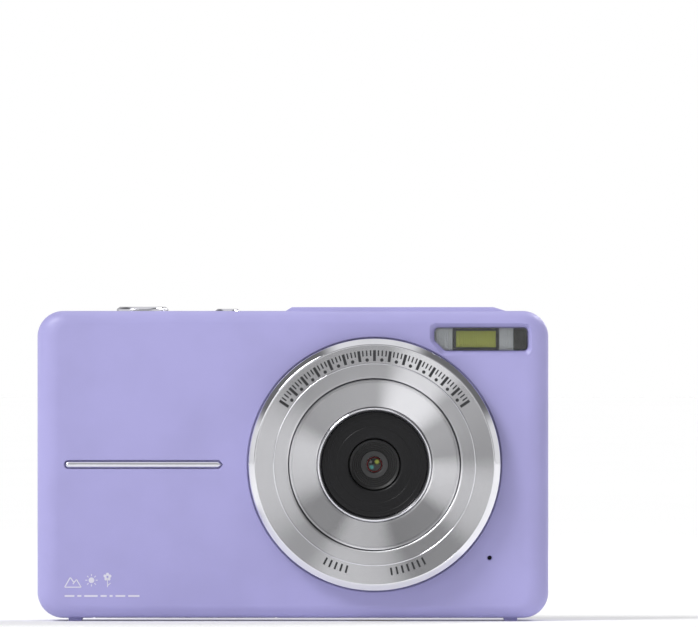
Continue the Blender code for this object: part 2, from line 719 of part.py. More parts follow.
def screen_pocket():
    """A cutter: the pocket that the screen window is glued into."""
    low = Y_BEZEL - SCREEN_SUNK - SCREEN_THICK - REST_GAP
    return slab("screen_pocket", None, screen_outline(SLIP_GAP), low, Y_BEZEL + CUT_PAST)


def screen_opening():
    """A cutter: the opening that the display is seen through."""
    return slab("screen_opening", None, screen_outline(-SCREEN_LEDGE), INNER_BACK - CUT_PAST, Y_BEZEL)


def screw_tabs():
    """The tabs inside the front casing that the screws bite into, each with its hole."""
    tabs = []
    inner = LIP_OUTSIDE + 0.1 * MM
    thick = 2.3 * MM
    for name, point, inward in screw_places():
        near = point + inward * inner
        far = near + inward * thick
        y = SCREW_Y - TAB_HALF_WIDTH, Y_SEAM + 1.1 * MM
        if inward.z:
            tab = block(f"{name}_tab", None, around(point.x, TAB_HALF_WIDTH), y, (near.z, far.z))
        else:
            tab = block(f"{name}_tab", None, sorted((near.x, far.x)), y, around(point.z, TAB_HALF_WIDTH))
        ends = point + inward * WALL, far + inward * EMBED
        hole = drill(f"{name}_hole", SCREW_RADIUS + SLIP_GAP, *ends, SMALL)
        cut(tab, hole)
        tabs.append(tab)
    return tabs


def round_keys():
    """The four round buttons' names and the points over them on the back face."""
    left, right = NAV_X - KEY_SPREAD_X, NAV_X + KEY_SPREAD_X
    low, high = Z_MID - KEY_SPREAD_Z, Z_MID + KEY_SPREAD_Z
    return (
        ("zoom_wide_button", Vector((right, Y_BACK, high))),
        ("zoom_tele_button", Vector((left, Y_BACK, high))),
        ("mode_button", Vector((right, Y_BACK, low))),
        ("menu_button", Vector((left, Y_BACK, low))),
    )


def keys():
    """The round buttons and the middle button, each with a flange inside and a stem over its dome."""
    flange = KEY_FLANGE_Y - Y_BACK
    under = flange - KEY_FLANGE
    stem = KEY_STEM_Y - Y_BACK
    cap = (
        (0, stem),
        (1.4 * MM, stem),
        (1.4 * MM, under),
        (KEY_RADIUS + KEY_FLANGE_LIP, under),
        (KEY_RADIUS + KEY_FLANGE_LIP, flange),
        (KEY_RADIUS, flange),
        (KEY_RADIUS, 0.35 * MM),
        (KEY_RADIUS - 0.35 * MM, 0.6 * MM),
        (KEY_RADIUS * 0.5, 0.72 * MM),
        (0, 0.76 * MM),
    )
    for name, centre in round_keys():
        turned(name, SILVER, cap, centre, BACK)
    middle = (
        (0, stem),
        (1.4 * MM, stem),
        (1.4 * MM, under + KEY_PLAY),
        (OK_RADIUS, under + KEY_PLAY),
        (OK_RADIUS, 0.05 * MM),
        (OK_RADIUS - 0.3 * MM, 0.3 * MM),
        (OK_RADIUS * 0.5, 0.4 * MM),
        (0, 0.42 * MM),
    )
    turned("ok_button", SILVER, middle, Vector((NAV_X, Y_BACK, Z_MID)), BACK)


def nav_ring():
    """The four-way ring, dished towards its middle, with a flange inside the back wall."""
    flange = KEY_FLANGE_Y - Y_BACK
    under = flange - KEY_FLANGE
    profile = (
        (OK_HOLE_RADIUS, under),
        (NAV_FLANGE_RADIUS, under),
        (NAV_FLANGE_RADIUS, flange),
        (NAV_RADIUS, flange),
        (NAV_RADIUS, 0.25 * MM),
        (NAV_RADIUS - 0.5 * MM, 0.6 * MM),
        (OK_HOLE_RADIUS + 0.4 * MM, 0.2 * MM),
        (OK_HOLE_RADIUS, 0.0),
    )
    return turned("nav_ring", SILVER, profile, Vector((NAV_X, Y_BACK, Z_MID)), BACK, 36)


def nav_pivot_ring():
    """The soft ring under the nav ring that lets it rock."""
    back = KEY_FLANGE_Y - KEY_FLANGE - KEY_PLAY
    outer, inner = NAV_RADIUS - 1.2 * MM, OK_HOLE_RADIUS + 0.5 * MM
    profile = ((inner, -0.5 * MM), (outer, -0.5 * MM), (outer, 0), (inner, 0))
    return turned("nav_pivot_ring", RUBBER, profile, Vector((NAV_X, back, Z_MID)), BACK)


def keypad():
    """The rubber mat with a dome under each key, and the board behind it."""
    x = NAV_X - KEY_SPREAD_X - KEY_RADIUS + 0.3 * MM, NAV_X + KEY_SPREAD_X + KEY_RADIUS + 0.6 * MM
    z = Z_MID - KEY_SPREAD_Z - KEY_RADIUS - 0.6 * MM, Z_MID + KEY_SPREAD_Z + KEY_RADIUS + 0.6 * MM
    mat = block("keypad_mat", RUBBER, x, (MAT_FRONT_Y, MAT_Y), z)
    domes = [centre for _, centre in round_keys()]
    domes.append(Vector((NAV_X, Y_BACK, Z_MID)))
    for i in range(4):
        turn = math.pi / 2 * i
        reach = NAV_RADIUS * 0.68
        domes.append(Vector((NAV_X + reach * math.cos(turn), Y_BACK, Z_MID + reach * math.sin(turn))))
    for i, centre in enumerate(domes):
        low = Vector((centre.x, (MAT_FRONT_Y + MAT_Y) / 2, centre.z))
        tall = DOME_Y - low.y
        profile = ((0, 0), (1.6 * MM, 0), (1.2 * MM, tall), (0, tall))
        fuse(mat, turned(f"dome_{i}", None, profile, low, BACK, SMALL))
    board_z = z[0], light_centre().z + 2.0 * MM
    board = block("keypad_board", GREEN, x, (KEYPAD_Y - BOARD_THICK, KEYPAD_Y), board_z)
    return mat, board


def light_centre():
    """The middle of the status light's window, on the back face."""
    return Vector((X_LEFT + LIGHT_FROM_LEFT, Y_BACK, Z_HIGH - LIGHT_FROM_TOP))


def light_outline(margin):
    """The status light's pill-shaped outline."""
    centre = light_centre()
    half = LIGHT_HEIGHT / 2 + margin
    x = around(centre.x, LIGHT_LENGTH / 2 + margin)
    z = around(centre.z, half)
    return rounded(rectangle(*x, *z), half * 0.98, 4)


def status_light():
    """The light's window, and the lamp on the keypad board behind it."""
    front = INNER_BACK - 0.8 * MM
    slab("status_light_window", MINT, light_outline(0), front, Y_BACK + 0.1 * MM)
    centre = light_centre()
    y = KEYPAD_Y + SLIP_GAP, KEYPAD_Y + 1.1 * MM
    block("status_led", MINT, around(centre.x, 0.8 * MM), y, around(centre.z, 0.4 * MM))


def screen():
    """The screen window, the display behind it and the metal tray behind that."""
    back = Y_BEZEL - SCREEN_SUNK
    slab("screen_window", BLACK, screen_outline(0), back - SCREEN_THICK, back)
    panel_back = INNER_BACK - REST_GAP
    panel_front = panel_back - 2.2 * MM
    x = around(SCREEN_X, SCREEN_WIDTH / 2 + 2.8 * MM)
    z = around(Z_MID, SCREEN_HEIGHT / 2 + 2.5 * MM)
    block("display_panel", GREY, x, (panel_front, panel_back), z)
    tray_back = panel_front - REST_GAP
    tray = block("display_tray", STEEL, x, (tray_back - 0.6 * MM, tray_back), z)
    window_y = around(tray_back, 1.5 * MM)
    cut(tray, block("tray_window", None, around(SCREEN_X, 12 * MM), window_y, around(Z_MID, 8 * MM)))
    flex_y = panel_front + 0.6 * MM
    low = z[0] - 2.4 * MM
    front = MAIN_BOARD_Y + BOARD_THICK + 0.7 * MM
    path = (
        (flex_y, z[0] - REST_GAP),
        (flex_y, low + 1.2 * MM),
        (flex_y - 1.0 * MM, low),
        (front + 1.0 * MM, low),
        (front, low + 1.2 * MM),
        (front, low + 12 * MM),
    )
    ribbon("display_flex", ORANGE, around(SCREEN_X - 11 * MM, 5 * MM), path, 0.2 * MM)


def lens_rings():
    """The turned rings and the black plate on the front, from the outside in."""
    centre = Vector((LENS_X, Y_FRONT, Z_MID))
    seat = -LENS_SEAT + REST_GAP
    top = LENS_PROUD
    outer = (
        (LENS_GROOVE_RADIUS + SLIP_GAP / 2, seat),
        (LENS_RADIUS, seat),
        (LENS_RADIUS, top - LENS_RIM_BEVEL),
        (LENS_RADIUS - LENS_RIM_BEVEL, top),
        (LENS_GROOVE_RADIUS + 0.4 * MM, top - 0.3 * MM),
        (LENS_GROOVE_RADIUS + SLIP_GAP / 2, top - 0.6 * MM),
    )
    turned("lens_outer_ring", SILVER, outer, centre, FRONT, FINE)
    inner = (
        (TRIM_RADIUS + SLIP_GAP, seat),
        (LENS_GROOVE_RADIUS - SLIP_GAP / 2, seat),
        (LENS_GROOVE_RADIUS - SLIP_GAP / 2, top - 0.8 * MM),
        (LENS_GROOVE_RADIUS - 0.4 * MM, top - 0.5 * MM),
        (TRIM_RADIUS + 0.4 * MM, top - 1.1 * MM),
        (TRIM_RADIUS + SLIP_GAP, top - 1.3 * MM),
    )
    turned("lens_inner_ring", SILVER, inner, centre, FRONT, FINE)
    trim = (
        (COVER_RADIUS + SLIP_GAP, seat),
        (TRIM_RADIUS, seat),
        (TRIM_RADIUS, top - 1.0 * MM),
        (TRIM_RADIUS - 0.35 * MM, top - 0.75 * MM),
        (COVER_RADIUS + SLIP_GAP, top - 1.5 * MM),
    )
    turned("lens_trim_ring", BRIGHT, trim, centre, FRONT, 32)
    face = top - 1.8 * MM
    hole = BARREL_HEAD_RADIUS + SLIP_GAP
    cover = (
        (COVER_RADIUS - 0.95 * MM, seat),
        (COVER_RADIUS, seat),
        (COVER_RADIUS, face - 0.25 * MM),
        (COVER_RADIUS - 0.25 * MM, face),
        (hole + 0.25 * MM, face),
        (hole, face - 0.25 * MM),
        (hole, face - 1.2 * MM),
        (COVER_RADIUS - 0.95 * MM, face - 1.2 * MM),
    )
    turned("lens_cover_plate", BLACK, cover, centre, FRONT, 32)


def lens_module():
    """The fixed-focus module: barrel, glass, holder, filter, sensor, its board and its flex."""
    centre = Vector((LENS_X, Y_FRONT, Z_MID))
    face = LENS_PROUD - 1.8 * MM
    disc = face - 2.8 * MM
    tail = -5.2 * MM
    barrel = (
        (GLASS_RADIUS + SLIP_GAP, disc),
        (GLASS_RADIUS + 1.2 * MM, disc),
        (BARREL_HEAD_RADIUS - 0.25 * MM, face - 0.6 * MM),
        (BARREL_HEAD_RADIUS, face - 0.7 * MM),
        (BARREL_HEAD_RADIUS, -1.2 * MM),
        (BARREL_RADIUS, -1.5 * MM),
        (BARREL_RADIUS, tail),
        (BARREL_RADIUS - 1.4 * MM, tail),
        (BARREL_RADIUS - 1.4 * MM, disc - 2.0 * MM),
        (GLASS_RADIUS + SLIP_GAP, disc - 2.0 * MM),
    )
    turned("lens_barrel", BLACK, barrel, centre, FRONT, ROUND)
    glass = (
        (0, disc - 1.6 * MM),
        (GLASS_RADIUS, disc - 1.6 * MM),
        (GLASS_RADIUS, disc - 0.2 * MM),
        (GLASS_RADIUS * 0.75, disc + 0.05 * MM),
        (GLASS_RADIUS * 0.4, disc + 0.2 * MM),
        (0, disc + 0.25 * MM),
    )
    turned("front_lens", CLEAR, glass, centre, FRONT, ROUND)
    board_front = Y_FRONT + 7.4 * MM
    holder_x, holder_z = around(LENS_X, HOLDER_SIDE / 2), around(Z_MID, HOLDER_SIDE / 2)
    holder = block("lens_holder", BLACK, holder_x, (Y_FRONT + 2.3 * MM, board_front - REST_GAP), holder_z)
    bore_back = centre + BACK * 7.0 * MM
    bore = drill("holder_bore", BARREL_RADIUS + SLIP_GAP, centre, bore_back)
    pocket_y = board_front - 1.6 * MM, board_front + CUT_PAST
    pocket = block("holder_pocket", None, around(LENS_X, 4.7 * MM), pocket_y, around(Z_MID, 4.3 * MM))
    cut(holder, bore, pocket)
    filter_front = Y_FRONT - tail + 0.2 * MM
    filter_y = filter_front, filter_front + 0.4 * MM
    block("infrared_filter", CLEAR, around(LENS_X, 2.4 * MM), filter_y, around(Z_MID, 2.4 * MM))
    sensor_y = board_front - SLIP_GAP * 2 - 0.7 * MM, board_front - SLIP_GAP
    block("image_sensor", GREY, around(LENS_X, 4.0 * MM), sensor_y, around(Z_MID, 3.5 * MM))
    board_y = board_front, board_front + BOARD_THICK
    half = CAMERA_BOARD / 2
    block("sensor_board", GREEN, around(LENS_X, half), board_y, around(Z_MID, half))
    y0 = board_y[1] + 0.3 * MM
    y1 = MAIN_BOARD_Y - 0.3 * MM
    top = Z_MID + half
    path = ((y0, Z_MID), (y0, top), (y1, top + 4 * MM), (y1, top + 9 * MM))
    ribbon("sensor_flex", ORANGE, around(LENS_X, 3.5 * MM), path, 0.2 * MM)


def flash():
    """The ribbed window, the reflector behind it and the lamp at its back."""
    front = Y_FRONT + FLASH_SUNK
    slab("flash_window", CLEAR, flash_outline(0), front, front + 1.1 * MM)
    x0, x1 = FLASH_X0 + 4.0 * MM, FLASH_X0 + 11.9 * MM
    y0 = INNER_FRONT + REST_GAP
    y1 = y0 + 4.0 * MM
    z = FLASH_Z0 + 0.1 * MM, FLASH_Z1 - 0.1 * MM
    mouth = rectangle(x0 - 0.5 * MM, x1 + 0.5 * MM, *z)
    throat = rectangle(x0 + 1.0 * MM, x1 - 1.0 * MM, z[0] + 0.6 * MM, z[1] - 0.6 * MM)
    reflector = loft("flash_reflector", BRIGHT, [at_y(mouth, y0), at_y(throat, y1)])
    wide = rectangle(x0 - 0.1 * MM, x1 + 0.1 * MM, z[0] + 0.35 * MM, z[1] - 0.35 * MM)
    slim = rectangle(x0 + 1.4 * MM, x1 - 1.4 * MM, z[0] + 1.0 * MM, z[1] - 1.0 * MM)
    slope = loft("reflector_hollow", None, [at_y(wide, y0 - EMBED), at_y(slim, y1 + EMBED)])
    cut(reflector, slope)
    block("flash_led", YELLOW, (x0 + 1.8 * MM, x1 - 1.8 * MM), (y1 + REST_GAP, y1 + 1.4 * MM), z)


def microphone():
    """The microphone and the rubber boot that seals it to the front wall."""
    centre = mic_point(INNER_FRONT + REST_GAP)
    deep = 2.6 * MM
    boot = (
        (0.5 * MM, 0),
        (2.4 * MM, 0),
        (2.4 * MM, deep),
        (2.0 * MM, deep),
        (2.0 * MM, 0.5 * MM),
        (0.5 * MM, 0.5 * MM),
    )
    turned("microphone_boot", RUBBER, boot, centre, BACK, 18)
    capsule = ((0, 0.75 * MM), (1.8 * MM, 0.75 * MM), (1.8 * MM, deep + 0.3 * MM), (0, deep + 0.3 * MM))
    turned("microphone", STEEL, capsule, centre, BACK, 18)


def top_key(name, x, radius, proud, bevel, finish):
    """A button in the top wall: a cap, a flange under the wall and a stem over its switch."""
    flange = INNER_TOP - REST_GAP
    under = flange - 0.7 * MM
    stem = top_switch_top() + SLIP_GAP + proud * 0.7
    top = Z_HIGH + proud
    stem_radius = min(1.3 * MM, radius * 0.45)
    profile = (
        (0, stem),
        (stem_radius, stem),
        (stem_radius, under),
        (radius + TOP_FLANGE_LIP, under),
        (radius + TOP_FLANGE_LIP, flange),
        (radius, flange),
        (radius, top - bevel),
        (radius - bevel * 1.6, top),
        (0, top),
    )
    centre = Vector((x, TOP_KEY_Y, 0))
    return turned(name, finish, profile, centre, UP, ROUND)


def top_switch_top():
    """The height of the top switches' upper faces."""
    return TOP_BOARD_Z + SLIP_GAP + 1.5 * MM


def top_buttons():
    """The shutter and power buttons, the shutter's spring, their switches and the board under them."""
    top_key("shutter_button", SHUTTER_X, SHUTTER_RADIUS, SHUTTER_PROUD, 0.3 * MM, BRIGHT)
    top_key("power_button", POWER_X, POWER_RADIUS, POWER_PROUD, 0.15 * MM, BRIGHT)
    for name, x in (("shutter_switch", SHUTTER_X), ("power_switch", POWER_X)):
        z = TOP_BOARD_Z + SLIP_GAP, top_switch_top()
        block(name, GREY, around(x, 2.0 * MM), around(TOP_KEY_Y, 2.0 * MM), z)
    shutter_spring()
    x = SHUTTER_X - 5.5 * MM, POWER_X + 4.5 * MM
    board_z = TOP_BOARD_Z - BOARD_THICK, TOP_BOARD_Z
    block("top_button_board", GREEN, x, around(TOP_KEY_Y, 3.6 * MM), board_z)


def shutter_spring():
    """The coil spring between the shutter button's flange and the board."""
    low = TOP_BOARD_Z + REST_GAP + SPRING_WIRE / 2
    high = INNER_TOP - 2 * REST_GAP - 0.7 * MM - SPRING_WIRE / 2
    sides, steps = 5, 12
    mesh = bmesh.new()
    loops = []
    for i in range(SPRING_TURNS * steps + 1):
        turn = 2 * math.pi * i / steps
        out = Vector((math.cos(turn), math.sin(turn), 0))
        middle = out * SPRING_RADIUS + UP * (low + (high - low) * i / (SPRING_TURNS * steps))
        angles = [2 * math.pi * k / sides for k in range(sides)]
        ring = [middle + (out * math.cos(a) + UP * math.sin(a)) * SPRING_WIRE / 2 for a in angles]
        loops.append([mesh.verts.new(point) for point in ring])
    for near, far in zip(loops, loops[1:]):
        for k in range(sides):
            mesh.faces.new((near[k - 1], near[k], far[k], far[k - 1]))
    mesh.faces.new(loops[0])
    mesh.faces.new(loops[-1])
    return solid("shutter_spring", STEEL, mesh, (SHUTTER_X, TOP_KEY_Y, 0))


def battery_door():
    """The door in the base: a plate with a round hinge edge and a small catch."""
    door = door_plate()
    x = around(BATTERY_X, 4.0 * MM)
    catch_y = DOOR_BACK_Y - 1.0 * MM, DOOR_BACK_Y - 0.15 * MM
    catch = block("door_catch", None, x, catch_y, (Z_LOW + EMBED, BAY_FLOOR - 0.7 * MM))
    fuse(door, catch)
    cut(door, bpy.data.objects["pin_hole"])
    return door


def door_plate():
    """The door's plate and hinge edge, its origin on the hinge's axis."""
    outline = [(DOOR_BACK_Y - HINGE_Y, -HINGE_RADIUS), (DOOR_BACK_Y - HINGE_Y, DOOR_THICK - HINGE_RADIUS)]
    start = math.asin((DOOR_THICK - HINGE_RADIUS) / HINGE_RADIUS)
    steps = 10
    for i in range(steps + 1):
        turn = start + (1.5 * math.pi - start) * i / steps
        outline.append((HINGE_RADIUS * math.cos(turn), HINGE_RADIUS * math.sin(turn)))
    rings = [[(x - BATTERY_X, *point) for point in outline] for x in (DOOR_X0, DOOR_X1)]
    door = loft("battery_door", LAVENDER, rings)
    door.location = (BATTERY_X, HINGE_Y, HINGE_Z)
    return door


def hinge_pin():
    """The door's pin, held in the casing's ears at both ends."""
    start = DOOR_X0 - REST_GAP - 1.0 * MM
    length = DOOR_X1 + REST_GAP + 1.0 * MM - start
    profile = ((0, 0), (PIN_RADIUS, 0), (PIN_RADIUS, length), (0, length))
    return turned("door_hinge_pin", STEEL, profile, Vector((start, HINGE_Y, HINGE_Z)), RIGHT, SMALL)


def power_supply():
    """The battery, the cradle round it and the two spring contacts over it."""
    x = around(BATTERY_X, BATTERY_WIDTH / 2)
    block("battery", BLUE, x, (BATTERY_FRONT, BATTERY_BACK), (BAY_FLOOR, BATTERY_TOP))
    inside = BATTERY_WIDTH / 2 + CRADLE_GAP
    outer_x = around(BATTERY_X, inside + CRADLE_WALL)
    outer_y, outer_z = (CRADLE_FRONT, CRADLE_BACK), (BAY_FLOOR, CRADLE_TOP)
    cradle = block("battery_cradle", GREY, outer_x, outer_y, outer_z)
    hollow_y = BATTERY_FRONT - CRADLE_GAP, BATTERY_BACK + CRADLE_GAP
    hollow_z = BAY_FLOOR - CUT_PAST, CRADLE_TOP - CRADLE_WALL
    cut(cradle, block("cradle_hollow", None, around(BATTERY_X, inside), hollow_y, hollow_z))
    middle = (BATTERY_FRONT + BATTERY_BACK) / 2
    low, high = BATTERY_TOP + 0.3 * MM, CRADLE_TOP - CRADLE_WALL - 0.3 * MM
    path = (
        (middle - 1.6 * MM, high),
        (middle + 1.2 * MM, high),
        (middle + 1.6 * MM, (low + high) / 2),
        (middle, low),
    )
    for name, side in (("battery_contact_left", -1), ("battery_contact_right", 1)):
        centre = BATTERY_X + side * BATTERY_WIDTH * 0.3
        ribbon(name, BRASS, around(centre, 1.2 * MM), path, 0.2 * MM)


def card_slot():
    """The memory card in its sheet-metal socket."""
    card_z = BAY_FLOOR, BAY_FLOOR + CARD_HEIGHT
    x0, x1 = around(BATTERY_X, CARD_WIDTH / 2)
    corner = 3.5 * MM
    outline = rectangle(x0, x1, *card_z)
    outline[1:2] = [(x1, card_z[1] - corner), (x1 - corner, card_z[1])]
    slab("memory_card", BLACK, outline, CARD_FRONT, CARD_BACK)
    inside = CARD_WIDTH / 2 + SLIP_GAP
    socket_z = BAY_FLOOR + 5 * MM, card_z[1] + 1.0 * MM
    outer_x = around(BATTERY_X, inside + SOCKET_WALL)
    socket = block("card_socket", STEEL, outer_x, (SOCKET_FRONT, SOCKET_BACK), socket_z)
    hollow_y = SOCKET_FRONT + SOCKET_WALL, SOCKET_BACK - SOCKET_WALL
    hollow_z = socket_z[0] - CUT_PAST, socket_z[1] - 0.6 * MM
    cut(socket, block("socket_hollow", None, around(BATTERY_X, inside), hollow_y, hollow_z))


def main_electronics():
    """The main board with its parts, and the processor in front of it."""
    x = DOOR_X1 + 1.4 * MM, X_RIGHT - 5.5 * MM
    z = BUSH_TOP + 2.0 * MM, Z_HIGH - 4.0 * MM
    board = block("main_board", GREEN, x, (MAIN_BOARD_Y, MAIN_BOARD_Y + BOARD_THICK), z)
    part_y = MAIN_BOARD_Y - 1.0 * MM, MAIN_BOARD_Y + 0.3 * MM
    for i, (left, low) in enumerate(((40, 6), (40, 34), (8, 30))):
        part_x = x[1] - left * MM, x[1] - (left - 5) * MM
        part_z = z[0] + low * MM, z[0] + (low + 4) * MM
        fuse(board, block(f"board_part_{i}", None, part_x, part_y, part_z))
    chip_z = z[0] + 2.5 * MM, z[0] + 10.5 * MM
    chip_y = MAIN_BOARD_Y - REST_GAP / 2 - 1.1 * MM, MAIN_BOARD_Y - REST_GAP / 2
    block("processor", GREY, (x[1] - 19 * MM, x[1] - 10 * MM), chip_y, chip_z)


def usb_socket():
    """The cable socket in the side: a metal shell round a tongue."""
    z_mid = Z_LOW + USB_FROM_BOTTOM
    x = X_RIGHT - 0.4 * MM - USB_LENGTH, X_RIGHT - 0.4 * MM
    y, z = around(SOCKET_Y, USB_THICK / 2), around(z_mid, USB_HEIGHT / 2)
    socket = block("usb_socket", STEEL, x, y, z)
    wall = 0.35 * MM
    hollow_y, hollow_z = (y[0] + wall, y[1] - wall), (z[0] + wall, z[1] - wall)
    cut(socket, block("usb_hollow", None, (x[0] + 1.2 * MM, x[1] + CUT_PAST), hollow_y, hollow_z))
    tongue_x = x[0] + EMBED, x[1] - 1.0 * MM
    tongue_y, tongue_z = around(SOCKET_Y, 0.35 * MM), around(z_mid, USB_HEIGHT * 0.36)
    fuse(socket, block("usb_tongue", None, tongue_x, tongue_y, tongue_z))


def speaker():
    """The small loudspeaker, facing down over its slots."""
    centre = Vector((SPEAKER_X, SOCKET_Y, INNER_BOTTOM + REST_GAP))
    profile = (
        (0, 0.5 * MM),
        (SPEAKER_RADIUS * 0.6, 0.8 * MM),
        (SPEAKER_RADIUS * 0.85, 0.3 * MM),
        (SPEAKER_RADIUS * 0.85, 0),
        (SPEAKER_RADIUS, 0),
        (SPEAKER_RADIUS, 1.6 * MM),
        (SPEAKER_RADIUS * 0.6, 3.0 * MM),
        (0, 3.0 * MM),
    )
    turned("speaker", GREY, profile, centre, UP, ROUND)


def tripod_bush():
    """The blind metal bush for a tripod's screw, flanged over the wall."""
    flange = INNER_BOTTOM + REST_GAP
    low = Z_LOW + 0.2 * MM
    wide = BUSH_RADIUS + 0.6 * MM
    profile = (
        (0, BUSH_TOP),
        (BUSH_RADIUS, BUSH_TOP),
        (BUSH_RADIUS, flange + 1.0 * MM),
        (wide, flange + 1.0 * MM),
        (wide, flange),
        (BUSH_RADIUS, flange),
        (BUSH_RADIUS, low),
        (BUSH_BORE_RADIUS, low),
        (BUSH_BORE_RADIUS, BUSH_TOP - 1.2 * MM),
        (0, BUSH_TOP - 1.2 * MM),
    )
    turned("tripod_bush", BRASS, profile, Vector((LENS_X, SOCKET_Y, 0)), UP, ROUND)


def clear_scene():
    """Takes away whatever the scene opens with."""
    for thing in list(bpy.data.objects):
        bpy.data.objects.remove(thing)


def gather():
    """Parents every piece and cutter to one empty at the origin."""
    frame = bpy.data.objects.new("camera_frame", None)
    bpy.context.scene.collection.objects.link(frame)
    for thing in bpy.context.scene.collection.objects:
        if thing is not frame:
            thing.parent = frame


def main():
    clear_scene()
    front_shell()
    rear_shell()
    accent_bar()
    lens_rings()
    lens_module()
    flash()
    microphone()
    top_buttons()
    keys()
    nav_ring()
    nav_pivot_ring()
    keypad()
    status_light()
    screen()
    battery_door()
    hinge_pin()
    power_supply()
    card_slot()
    main_electronics()
    usb_socket()
    speaker()
    tripod_bush()
    strap_bar()
    screws()
    gather()


main()
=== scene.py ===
"""Looks of a small lavender camera: fine casings, turned metal, glass, keys and print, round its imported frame."""

import logging
import math
from dataclasses import dataclass, field
from enum import Enum
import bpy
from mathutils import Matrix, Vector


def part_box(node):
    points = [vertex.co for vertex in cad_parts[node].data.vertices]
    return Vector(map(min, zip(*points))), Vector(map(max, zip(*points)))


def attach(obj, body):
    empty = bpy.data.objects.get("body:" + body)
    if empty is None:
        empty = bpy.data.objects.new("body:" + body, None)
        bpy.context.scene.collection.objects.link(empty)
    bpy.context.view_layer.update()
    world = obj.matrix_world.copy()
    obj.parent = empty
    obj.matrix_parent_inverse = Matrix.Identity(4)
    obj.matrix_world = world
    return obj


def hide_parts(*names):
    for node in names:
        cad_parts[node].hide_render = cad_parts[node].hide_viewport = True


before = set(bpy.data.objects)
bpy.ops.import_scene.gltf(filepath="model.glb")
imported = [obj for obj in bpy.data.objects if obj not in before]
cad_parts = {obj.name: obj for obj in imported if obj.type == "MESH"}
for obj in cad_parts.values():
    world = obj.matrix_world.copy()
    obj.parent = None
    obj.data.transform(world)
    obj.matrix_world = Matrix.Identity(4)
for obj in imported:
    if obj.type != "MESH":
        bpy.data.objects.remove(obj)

from types import MappingProxyType
from typing import Callable, Iterable, Mapping, Sequence

import bmesh
import bpy
from mathutils import Vector

MM = 0.001
RIGHT_ANGLE = math.pi / 2
FULL_TURN = 2 * math.pi
SHARP_ABOVE = math.radians(30)
BLUNT_CORNER = 0.4
CUT_PAST = 0.3 * MM
CLOSE = 1e-6
WALL = 1.6 * MM
STEP_RISE = 0.75 * MM
CREST = 1.0 * MM
RING_DISH = 0.30 / 5.95
KEY_RING_CONE = 0.36 / 3.73
LOG = logging.getLogger("camera_looks")

Piece = bpy.types.Object
Material = bpy.types.Material
Socket = bpy.types.NodeSocket
Pair = tuple[float, float]
Profile = Sequence[Pair]
Colour = tuple[float, float, float]
Fed = Socket | float | Sequence[float]


# ---- bench tools


class Facing(Enum):
    """Which way a piece's own +Z looks; its +X and +Y are then the viewer's right and up."""

    FRONT = (RIGHT_ANGLE, 0, 0)
    BACK = (RIGHT_ANGLE, 0, math.pi)
    UP = (0, 0, 0)
    DOWN = (math.pi, 0, 0)
    RIGHT = (RIGHT_ANGLE, 0, RIGHT_ANGLE)
    LEFT = (RIGHT_ANGLE, 0, -RIGHT_ANGLE)


@dataclass(frozen=True)
class Box:
    """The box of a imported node.

    Args:
        low: The lowest corner.
        high: The highest corner.
    """

    low: Vector
    high: Vector

    @classmethod
    def of(cls, node: str) -> "Box":
        """The box of this node of the frame."""
        return cls(*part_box(node))

    @property
    def centre(self) -> Vector:
        """The middle of the box."""
        return (self.low + self.high) / 2

    @property
    def size(self) -> Vector:
        """The box's width, depth and height."""
        return self.high - self.low

    def at(self, **parts: float) -> Vector:
        """The middle of the box, with these of its x, y and z replaced."""
        point = self.centre
        for part, value in parts.items():
            setattr(point, part, value)
        return point


def mode(kind: str) -> None:
    """Puts the active piece in EDIT or OBJECT mode."""
    bpy.ops.object.mode_set(mode=kind)


def settle() -> None:
    """Applies the selected piece's place, turn and scale to its mesh."""
    bpy.ops.object.transform_apply(location=True, rotation=True, scale=True)


def choose_all() -> None:
    """Selects the whole mesh in edit mode."""
    bpy.ops.mesh.select_all(action="SELECT")


def deselect() -> None:
    """Leaves edit mode, and nothing selected."""
    if bpy.context.object and bpy.context.object.mode != "OBJECT":
        mode("OBJECT")
    bpy.ops.object.select_all(action="DESELECT")


def activate(piece: Piece) -> None:
    """Makes this the only selected object, and the active one."""
    deselect()
    piece.select_set(True)
    bpy.context.view_layer.objects.active = piece


def named(name: str) -> Piece:
    """Names the primitive that was just added."""
    piece = bpy.context.object
    piece.name = name
    piece.data.name = name
    return piece


def place(piece: Piece, facing: Facing, origin: Vector) -> Piece:
    """Turns a piece to its facing, moves it to its origin and applies both to its mesh.

    Args:
        piece: The piece, modelled about its own origin with +Z outwards.
        facing: The way that +Z is to look.
        origin: Where its own origin goes.

    Returns:
        The piece, its object back at the origin.
    """
    activate(piece)
    piece.rotation_euler = facing.value
    piece.location = origin
    settle()
    return piece


def choose(kind: str, test: Callable[[Vector], bool]) -> None:
    """Selects, in edit mode, the elements whose middle passes a test.

    Args:
        kind: "VERT", "EDGE" or "FACE".
        test: Takes a middle point, and says whether to select.
    """
    bpy.ops.mesh.select_mode(type=kind)
    bpy.ops.mesh.select_all(action="DESELECT")
    mesh = bmesh.from_edit_mesh(bpy.context.object.data)
    for item in {"VERT": mesh.verts, "EDGE": mesh.edges, "FACE": mesh.faces}[kind]:
        corners = [item] if kind == "VERT" else item.verts
        if test(sum((corner.co for corner in corners), Vector()) / len(corners)):
            item.select_set(True)
    mesh.select_flush_mode()
    bmesh.update_edit_mesh(bpy.context.object.data)


def in_mm(points: Profile) -> list[Pair]:
    """Points given in millimetres, in metres."""
    return [(radius * MM, height * MM) for radius, height in points]


